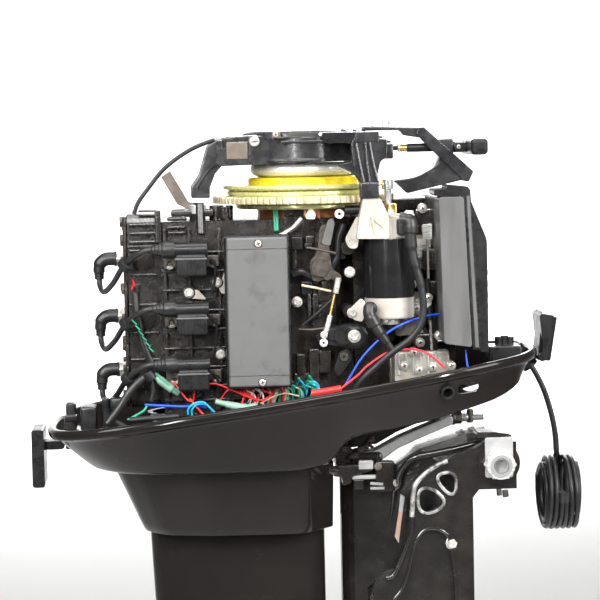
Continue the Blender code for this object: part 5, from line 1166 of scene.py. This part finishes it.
# inside of the tray: ledge, clips, hoses
put(g_tube([(-187.4, -96.0, 195.4), (-203.0, -98.0, 187.0), (-226.5, -102.0, 167.5), (-242.4, -104.0, 144.9), (-258.2, -106.0, 125.0)], [6, 5.4, 4.8, 4.6, 4.6], 14, 60), MT["lead"], body, "drain_hose")
put(g_lathe((-203.0, -100.0, 183.4), (0.55, 0, -0.8), round_prof([(4, -6), (8.4, -6), (8.4, 6), (4, 6), (4, -6)], 1.6)[:-1], 28, ring=True), MT["rubber"], body, "lead_clamps")
put(g_tube([(-201.8, -98.0, 181.8), (-199.7, -98.0, 166.3), (-202.6, -98.0, 150.8)], 3.2, 12, 20), MT["rubber"], body, "drain_hose")
put(g_box((-265.9, -80.0, 154.3), (-255.9, -60.0, 116.2), 4), MT["plastic"], body, "tray_parts")
put(g_box((-255.6, -80.0, 154.0), (-233.2, -60.0, 139.1), 4), MT["plastic"], body, "tray_parts")
put(g_box((-313.2, -40.0, 144.2), (-300.3, -20.0, 125.4), 3), MT["plastic"], body, "tray_parts")
put(g_box((-314.4, -60.0, 129.6), (-298.9, -30.0, 110.7), 3), MT["cast"], body, "tray_parts")
put(g_cyl((-307.2, -30.0, 142.8), (-308.0, -30.0, 113.6), 6, 20, 1), MT["plastic"], body, "tray_parts")
put(g_box((-292.8, -90.0, 144.6), (-272.0, -50.0, 112.7), 4), MT["plastic"], body, "tray_parts")
for q in ((-306.0, -64.0, 127.3), (-196.6, -112.0, 131.8), (-219.7, -108.0, 128.0)):
    put(g_box((q[0] - 7, q[1], q[2] - 4), (q[0] + 8, q[1] + 12, q[2] + 4), 1.5), MT["plastic"], body, "connectors")
put(g_box((-201.6, -112.0, 134.0), (-191.7, -104.0, 126.7), 1.5), MT["white"], body, "connector_white")
put(g_tube([(-229.9, -108.0, 129.1), (-209.4, -110.0, 130.6), (-188.9, -112.0, 131.6), (-168.4, -114.0, 133.3)], 3.6, 12, 30), MT["rubber"], body, "drain_hose")
for q in ((244.3, -60.0, 213.8), (251.8, -60.0, 215.1), (259.2, -60.0, 213.5), (239.7, -70.0, 201.6)):
    put(g_cyl((q[0], q[1], q[2] - 12), (q[0], q[1], q[2] + 4), 5, 20, 1.2), MT["plastic"], body, "tray_clips")
put(g_box((229.4, -80.0, 207.3), (270.9, -40.0, 188.8), 3), MT["plastic"], body, "tray_parts")

# latches
for nm, bd, pts_ in (("front", "latch_front", [(307.3, 238.5), (327.4, 237.4), (317.9, 180.0), (301.1, 181.1)]),):
    put(g_prism("y", rounded(pts_, 2, 3), -22, 22, 1.5), MT["plastic"], bd, "latch_grip_front")
put(g_prism("y", [(303.4, 238.8), (307.1, 245.6), (308.8, 238.3)], -22, 22, 0.6), MT["plastic"], "latch_front", "latch_grip_front")
put(g_box((301, -7, 182), (312, 7, 192), 1.5), MT["cast"], "motor", "latch_pins")

# ------------------------------------------------------------------ brackets
put(g_prism("y", rounded([(215, 46), (250.5, 46), (250.5, 97), (215, 97)], 3, 3), -131, -127.4, 0.8), MT["alloy"], "clamp_brackets", "tube_plate")
put(g_prism("y", rounded([(205, 97), (250.5, 97.5), (246, 101), (226, 104), (205, 104)], 2, 2), -131, -96, 1.2), MT["cast"], "clamp_brackets", "tube_plate_top")
put(g_lathe((233, -130.5, 63.5), (0, -1, 0), [(11.3, 0), (20.5, 0), (20.5, 11.5), (18.8, 14.5), (12.6, 14.5), (11.3, 13.2)], 6, ring=True), MT["silver"], "clamp_brackets", "tube_nut")
solo(g_lathe((233, -129, 63.5), (0, -1, 0), round_prof([(11.2, 0), (18.4, 0), (18.4, 15), (16.5, 18), (12.4, 18), (11.2, 16), (11.2, 0)], 0.8)[:-1], 64, ring=True),
     "tube_nut_collar", "silver", "clamp_brackets", ("tilt_tube_nut",), smooth=50)
put(g_lathe((233, -126, 63.5), (0, -1, 0), round_prof([(8.3, 0), (11.4, 0), (11.4, 23.4), (10, 24), (8.3, 24), (8.3, 0)], 0.5)[:-1], 64, ring=True), MT["chrome"],
    "clamp_brackets", "tube_end")
# light tube on the upper bracket edge is a painted highlight; the lower edge tube keeps the black bracket paint
for s in (-1,):
    put(g_tube([(122, -123, -2), (125, -123, 31), (131, -123, 44), (150, -123, 60), (168, -123, 68)], 3.2, 12, 40), MT["worn"], "clamp_brackets", "bracket_edges")
    put(g_tube([(122, -123, -2), (119, -123, -26), (99, -123, -73), (88, -123, -79)], 3.2, 12, 40), MT["bracket"], "clamp_brackets", "bracket_edge_low")
# light rings round the two bracket windows: painted highlight on their edges
for pts_ in ([(150, 50), (178, 55), (180, 27), (168, 24)], [(130, 34), (150, 34), (168, 14), (146, 0), (130, 5)]):
    q = soft_poly(pts_, 3)
    put(g_tube([(x, -122.4, z) for x, z in q] + [(q[0][0], -122.4, q[0][1])], 2.2, 10), MT["worn"], "clamp_brackets", "window_edges")
q = soft_poly([(128, -20), (158, -16), (176, -40), (178, -200), (140, -262), (104, -232), (92, -170), (92, -112), (112, -92)], 3)
put(g_tube([(x, -122.2, z) for x, z in q] + [(q[0][0], -122.2, q[0][1])], 2.0, 10), MT["bracket"], "clamp_brackets", "recess_edge")
bolt((172.9, -118.0, -38.2), (0, -1, 0), 11, 7, body="clamp_brackets")
put(g_cyl((174.4, -117.0, -45.6), (183.2, -117.0, -110.8), 5.4, 24, 1), MT["bracket"], "clamp_brackets", "bracket_rod")
put(g_cyl((184.2, -117.0, -45.9), (193.2, -117.0, -100.3), 3.0, 20, 1), MT["bracket"], "clamp_brackets", "bracket_rod")
put(g_cyl((241.5, -118.0, 27.9), (242.3, -118.0, 18.9), 4.0, 20, 1), MT["darkbolt"], "clamp_brackets", "bracket_stub")
put(g_cyl((233.5, -118.0, 31.8), (234.2, -118.0, 21.0), 3.4, 20, 1), MT["darkbolt"], "clamp_brackets", "bracket_stub")
# swivel bracket lip, bonded strip
put(g_tube([(211.8, -80.0, 82.9), (186.4, -80.0, 76.9), (155.9, -78.0, 71.2), (130.7, -76.0, 66.2), (118.3, -72.0, 55.0), (112.4, -66.0, 41.6), (112.2, -60.0, 29.7), (107.1, -52.0, 21.2)],
           4.2, 14, 60), MT["bracket"], "swivel", "swivel_lip")
put(g_tube([(107.1, -52.0, 21.2), (105.4, -46.0, -1.8), (99.0, -40.0, -39.5), (94.0, -36.0, -84.5)], 3.0, 12, 40), MT["bracket"], "swivel", "swivel_lip")
put(g_prism("y", [(111.6, 21.5), (116.9, 17.8), (113.8, -2.1), (108.8, -1.9)], -89, -84, 0.5), MT["zincanode"], "clamp_brackets", "bonded_strip_top")
put(g_prism("y", [(108.8, -1.9), (113.8, -2.1), (108.1, -41.8), (103.4, -33.5)], -89, -84, 0.5), MT["anode"], "clamp_brackets", "bonded_strip")
# steering arm, stud and nut
bm = g_prism("y", [(56, 52), (92, 52), (118, 70), (152, 84), (186, 97.5), (190, 99.5), (190, 109.6), (184, 109.6), (153, 98), (118, 84), (92, 70), (80, 66),
                   (56, 66)], -14.5, 14.5, 2.4, 3)
solo(bm, "steering_lever", "alloy", "motor", ("steering_arm",), smooth=40)
put(g_cyl((72, 0, -362), (72, 0, 55), 13.8, 48, 1), MT["chrome"], "motor", "steering_shaft")
put(g_box((52, -26, 50.2), (96, 26, 66), 5), MT["cast"], "motor", "steering_yoke")
put(g_prism("x", [(a, 106 + b) for a, b in hexagon(8.6, 0.5)], 192, 203, 1), MT["darkbolt"], "motor", "stud_nut")
put(g_cyl((190, 0, 106), (194, 0, 106), 9.6, 32, 0.8), MT["darkbolt"], "motor", "stud_nut")
put(g_cyl((203, 0, 106), (210, 0, 106), 5.6, 28, 0.8), MT["chrome"], "motor", "steering_stud")
put(g_cyl((208, 0, 106), (231.8, 0, 106), 4.0, 28, 0.8), MT["chrome"], "motor", "steering_stud")
put(g_lathe((214, 0, 106), (0, 0, 1), round_prof([(0, -7), (4.6, -7), (4.6, 9), (3, 11), (0, 11)], 0.6), 24), MT["darkbolt"], "motor", "stud_nut")
# upper mount cover with its bolts
UM = "upper_mount_cover"
put(g_prism("y", rounded([(32.6, 55.8), (61.5, 56.4), (62.6, 61.8), (78.9, 61.7), (79.5, 48.9), (52.2, 41.5), (51.1, 33.3),
    (40.2, 30.0), (39.5, 41.0), (27.8, 42.2)], 2, 2), -62, -40, 1.5), MT["alloy" if False else "cast"], "motor", UM)
put(g_box((60.5, -63.0, 62.3), (79.7, -58.0, 50.4), 1.5), MT["alloy"], "motor", "upper_mount_pad")
put(g_cyl((27.6, -64.0, 50.2), (28.6, -50.0, 48.0), 4.6, 24, 1), MT["zinc"], "motor", "mount_pins")
put(g_cyl((18.0, -60.0, 51.6), (34.2, -60.0, 49.3), 6.0, 24, 1.2), MT["cast"], "motor", UM)
put(g_box((52.4, -58.0, 42.1), (89.3, -50.0, 37.0), 1.0), MT["alloy"], "motor", "upper_mount_pad")
put(g_box((54.3, -60.0, 36.9), (67.2, -50.0, 23.9), 2), MT["cast"], "motor", UM)
put(g_tube([(75.6, -60.0, 31.7), (91.9, -60.0, 30.3)], 2.0, 10), MT["alloy"], "motor", "mount_pins")
put(g_tube([(75.5, -60.0, 25.3), (93.6, -60.0, 25.1)], 2.0, 10), MT["alloy"], "motor", "mount_pins")
put(g_cyl((85.8, -62.0, 53.6), (86.7, -52.0, 52.0), 5.2, 20, 1), MT["darkbolt"], "motor", "mount_pins")
put(g_box((82.5, -60.0, 59.7), (107.9, -44.0, 19.9), 3), MT["cast"], "motor", UM)
bolt((110.1, -60.0, 31.6), (0, -1, 0), 7, 4)
for i, q in enumerate(((54.3, -40.0, 64.9), (66.3, -40.0, 73.7), (60.2, -36.0, 69.6), (73.6, -30.0, 75.7), (45.3, -40.0, 74.3), (81.1, -30.0, 84.7))):
    put(g_cyl((q[0], q[1], q[2]), (q[0], q[1] + 10, q[2]), 4.4, 16, 1), MT["darkbolt"], "motor", "mount_pins")
    put(g_tube([(q[0] - 8, q[1] + 4, q[2] - 4), (q[0], q[1], q[2] + 3), (q[0] + 9, q[1] + 4, q[2] - 2)], 2.0, 10, 10), MT["cast"], "motor", UM)
put(g_prism("y", [(24, 60), (56, 66.6), (92, 71), (118, 85.5), (153, 99.5), (175, 106), (178, 120), (110, 106), (60, 101), (36, 90), (28, 76)], 20, 60, 2), MT["cast"],
    "motor", "tray_support")

put(g_box((100, 30, 150), (166, 44, 396), 4), MT["cast"], "motor", "carb_port_plate")
for z in (366, 326, 290, 252, 216, 182):
    put(g_box((104, 43, z - 3), (162, 47, z + 3), 1.5), MT["cast"], "motor", "carb_port_plate")
put(g_box((62, 6, 150), (198, 46, 206), 6), MT["cast"], "motor", "fuel_pump_block")
put(g_cyl((150, 26, 200), (150, 26, 214), 14, 32, 2), MT["plastic"], "motor", "fuel_pump_cap")
put(g_cyl((90, 26, 200), (90, 26, 212), 11, 32, 2), MT["carb"], "motor", "fuel_pump_top")
for k in range(4):
    put(g_box((70 + 30 * k, 45, 158), (82 + 30 * k, 49, 200), 1.5), MT["cast"], "motor", "fuel_pump_block")

flush()

# ------------------------------------------------------------------ carried-over nodes
def dress(name, mat, bevel=0.0):
    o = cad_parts[name]
    if not o.material_slots:
        o.data.materials.append(MT[mat])
    for s in o.material_slots:
        s.material = MT[mat]
    if bevel:
        b = o.modifiers.new("bevel", "BEVEL")
        b.width = bevel / 1000.0
        b.segments = 2
        b.limit_method = "ANGLE"
        b.angle_limit = math.radians(38)
        b.use_clamp_overlap = True
        b.harden_normals = False
        w = o.modifiers.new("wn", "WEIGHTED_NORMAL")
        w.keep_sharp = True
    return o


DRESS = {
    "clamp_bracket_starboard": ("bracket", 1.2), "clamp_bracket_port": ("bracket", 1.2), "tilt_tube": ("chrome", 0.6),
    "tilt_tube_nut": ("silver", 0.6), "trim_pin": ("zinc", 0.5), "swivel_bracket": ("bracket", 1.5),
    "steering_arm": ("alloy", 1.2), "upper_mount": ("cast", 1.0), "lower_mount_clamp": ("bracket", 1.2),
    "drive_shaft_housing": ("leg", 0), "apron": ("gloss", 0), "bottom_cowl": ("gloss", 0), "gearcase": ("leg", 0.8),
    "trim_tab": ("zincanode", 0.8), "water_pump_housing": ("greyplastic", 0.6), "bearing_carrier": ("beige", 0.6),
    "cylinder_block": ("cast", 1.0), "cylinder_head": ("cast", 1.0), "exhaust_cover": ("cast", 1.0),
    "intake_manifold": ("cast", 1.0), "carburettor_top": ("carb", 0.6), "carburettor_middle": ("carb", 0.6),
    "carburettor_bottom": ("carb", 0.6), "silencer_box": ("silencer", 1.0), "silencer_cover": ("plastic", 1.0),
    "ignition_coil_top": ("plastic", 0.8), "ignition_coil_middle": ("plastic", 0.8),
    "ignition_coil_bottom": ("plastic", 0.8), "cdi_unit": ("cdi", 1.0), "starter_motor": ("starter", 0.6),
    "stator": ("copper", 0.5), "recoil_housing": ("recoil", 0.8), "handle_bracket": ("recoil", 0.8),
    "spark_plug_lead_top": ("lead", 0), "spark_plug_lead_middle": ("lead", 0), "spark_plug_lead_bottom": ("lead", 0),
    "starter_rope": ("rubber", 0), "flywheel": ("yellow", 0.4), "ring_gear": ("ring", 0), "starter_cup": ("silver", 0.5),
    "crankshaft": ("chrome", 0.4), "drive_shaft": ("chrome", 0.4), "impeller": ("rubber", 0.4),
    "forward_gear": ("chrome", 0.4), "reverse_gear": ("chrome", 0.4), "propeller": ("prop", 0.8),
    "propeller_shaft": ("chrome", 0.4), "propeller_nut": ("chrome", 0.4), "clutch_dog": ("chrome", 0.4),
    "shift_rod": ("chrome", 0), "starter_pinion": ("brass", 0.2), "recoil_sheave": ("plastic", 0.4),
    "recoil_handle": ("plastic", 1.0), "advance_lever": ("darkbolt", 0.6), "throttle_lever": ("plastic", 1.0),
    "cowl_latch_front": ("plastic", 1.0), "cowl_latch_rear": ("plastic", 1.0), "battery_cable": ("rubber", 0),
    "battery_cable_coil": ("rubber", 0),
}
for n_, (m_, b_) in DRESS.items():
    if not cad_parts[n_].hide_render:
        dress(n_, m_, b_)

# ------------------------------------------------------------------ stage and light
def stage_material(name, col, emit=0.0):
    mt = bpy.data.materials.new(name)
    mt.use_nodes = True
    b = mt.node_tree.nodes["Principled BSDF"]
    b.inputs["Base Color"].default_value = (*col, 1)
    b.inputs["Roughness"].default_value = 0.9
    if emit:
        b.inputs["Emission Color"].default_value = (1, 1, 1, 1)
        b.inputs["Emission Strength"].default_value = emit
    return mt


FLOOR_Z = -0.98
bm = bmesh.new()
prof = [(-9.0, FLOOR_Z), (7.7, FLOOR_Z)]
for k in range(1, 13):
    a = math.pi / 2 * k / 12
    prof.append((7.7 + 1.3 * math.sin(a), FLOOR_Z + 1.3 * (1 - math.cos(a))))
prof.append((9.0, 6.0))
rows = [[bm.verts.new((x, y, z)) for x in (-9.0, 9.0)] for y, z in prof]
for a, b in zip(rows, rows[1:]):
    bm.faces.new((a[0], a[1], b[1], b[0]))
me = bpy.data.meshes.new("backdrop")
bm.to_mesh(me)
bm.free()
me.shade_smooth()
back = bpy.data.objects.new("backdrop", me)
SC.collection.objects.link(back)
me.materials.append(stage_material("backdrop_white", (0.93, 0.93, 0.92)))


def area(name, loc, target, size, energy, col=(1, 1, 1), size_y=None, spread=180):
    l = bpy.data.lights.new(name, "AREA")
    l.energy = energy
    l.color = col
    l.shape = "RECTANGLE" if size_y else "SQUARE"
    l.size = size
    if size_y:
        l.size_y = size_y
    l.spread = math.radians(spread)
    o = bpy.data.objects.new(name, l)
    SC.collection.objects.link(o)
    o.location = loc
    o.rotation_mode = "QUATERNION"
    o.rotation_quaternion = (Vector(target) - Vector(loc)).to_track_quat("-Z", "Y")
    return o


C0 = Vector((-0.2, 0.0, 0.2))
area("key_left", (-2.3, -2.0, 1.9), C0, 1.1, 27, size_y=1.9, spread=80)
area("key_right", (2.2, -1.8, 1.5), C0, 0.9, 18, size_y=1.7, spread=80)
area("front_high", (-0.1, -3.4, 2.2), C0, 1.6, 15, size_y=0.6, spread=70)
area("strip_left", (-1.15, -2.9, 0.95), (-0.3, 0, 0.1), 0.10, 7, size_y=1.1, spread=60)
area("strip_right", (1.5, -2.2, 0.9), (-0.1, 0, 0.1), 0.12, 7, size_y=0.9, spread=60)
area("top", (-0.1, -0.3, 2.6), C0, 2.0, 26, size_y=1.4, spread=110)
area("back_wash", (0.0, 6.5, 3.4), (0.0, 8.9, 0.6), 5.0, 330, size_y=1.2)
area("rim", (0.4, 2.6, 1.5), C0, 1.4, 22, size_y=1.4, spread=90)
area("back_wash_low", (0.0, 7.0, -0.7), (0.0, 8.9, 0.8), 5.0, 70, size_y=0.6)
w = bpy.data.worlds.new("studio")
SC.world = w
w.use_nodes = True
w.node_tree.nodes["Background"].inputs["Color"].default_value = (1.0, 1.0, 1.0, 1)
w.node_tree.nodes["Background"].inputs["Strength"].default_value = 0.12
SC.view_settings.view_transform = "Standard"
SC.view_settings.exposure = 0.0
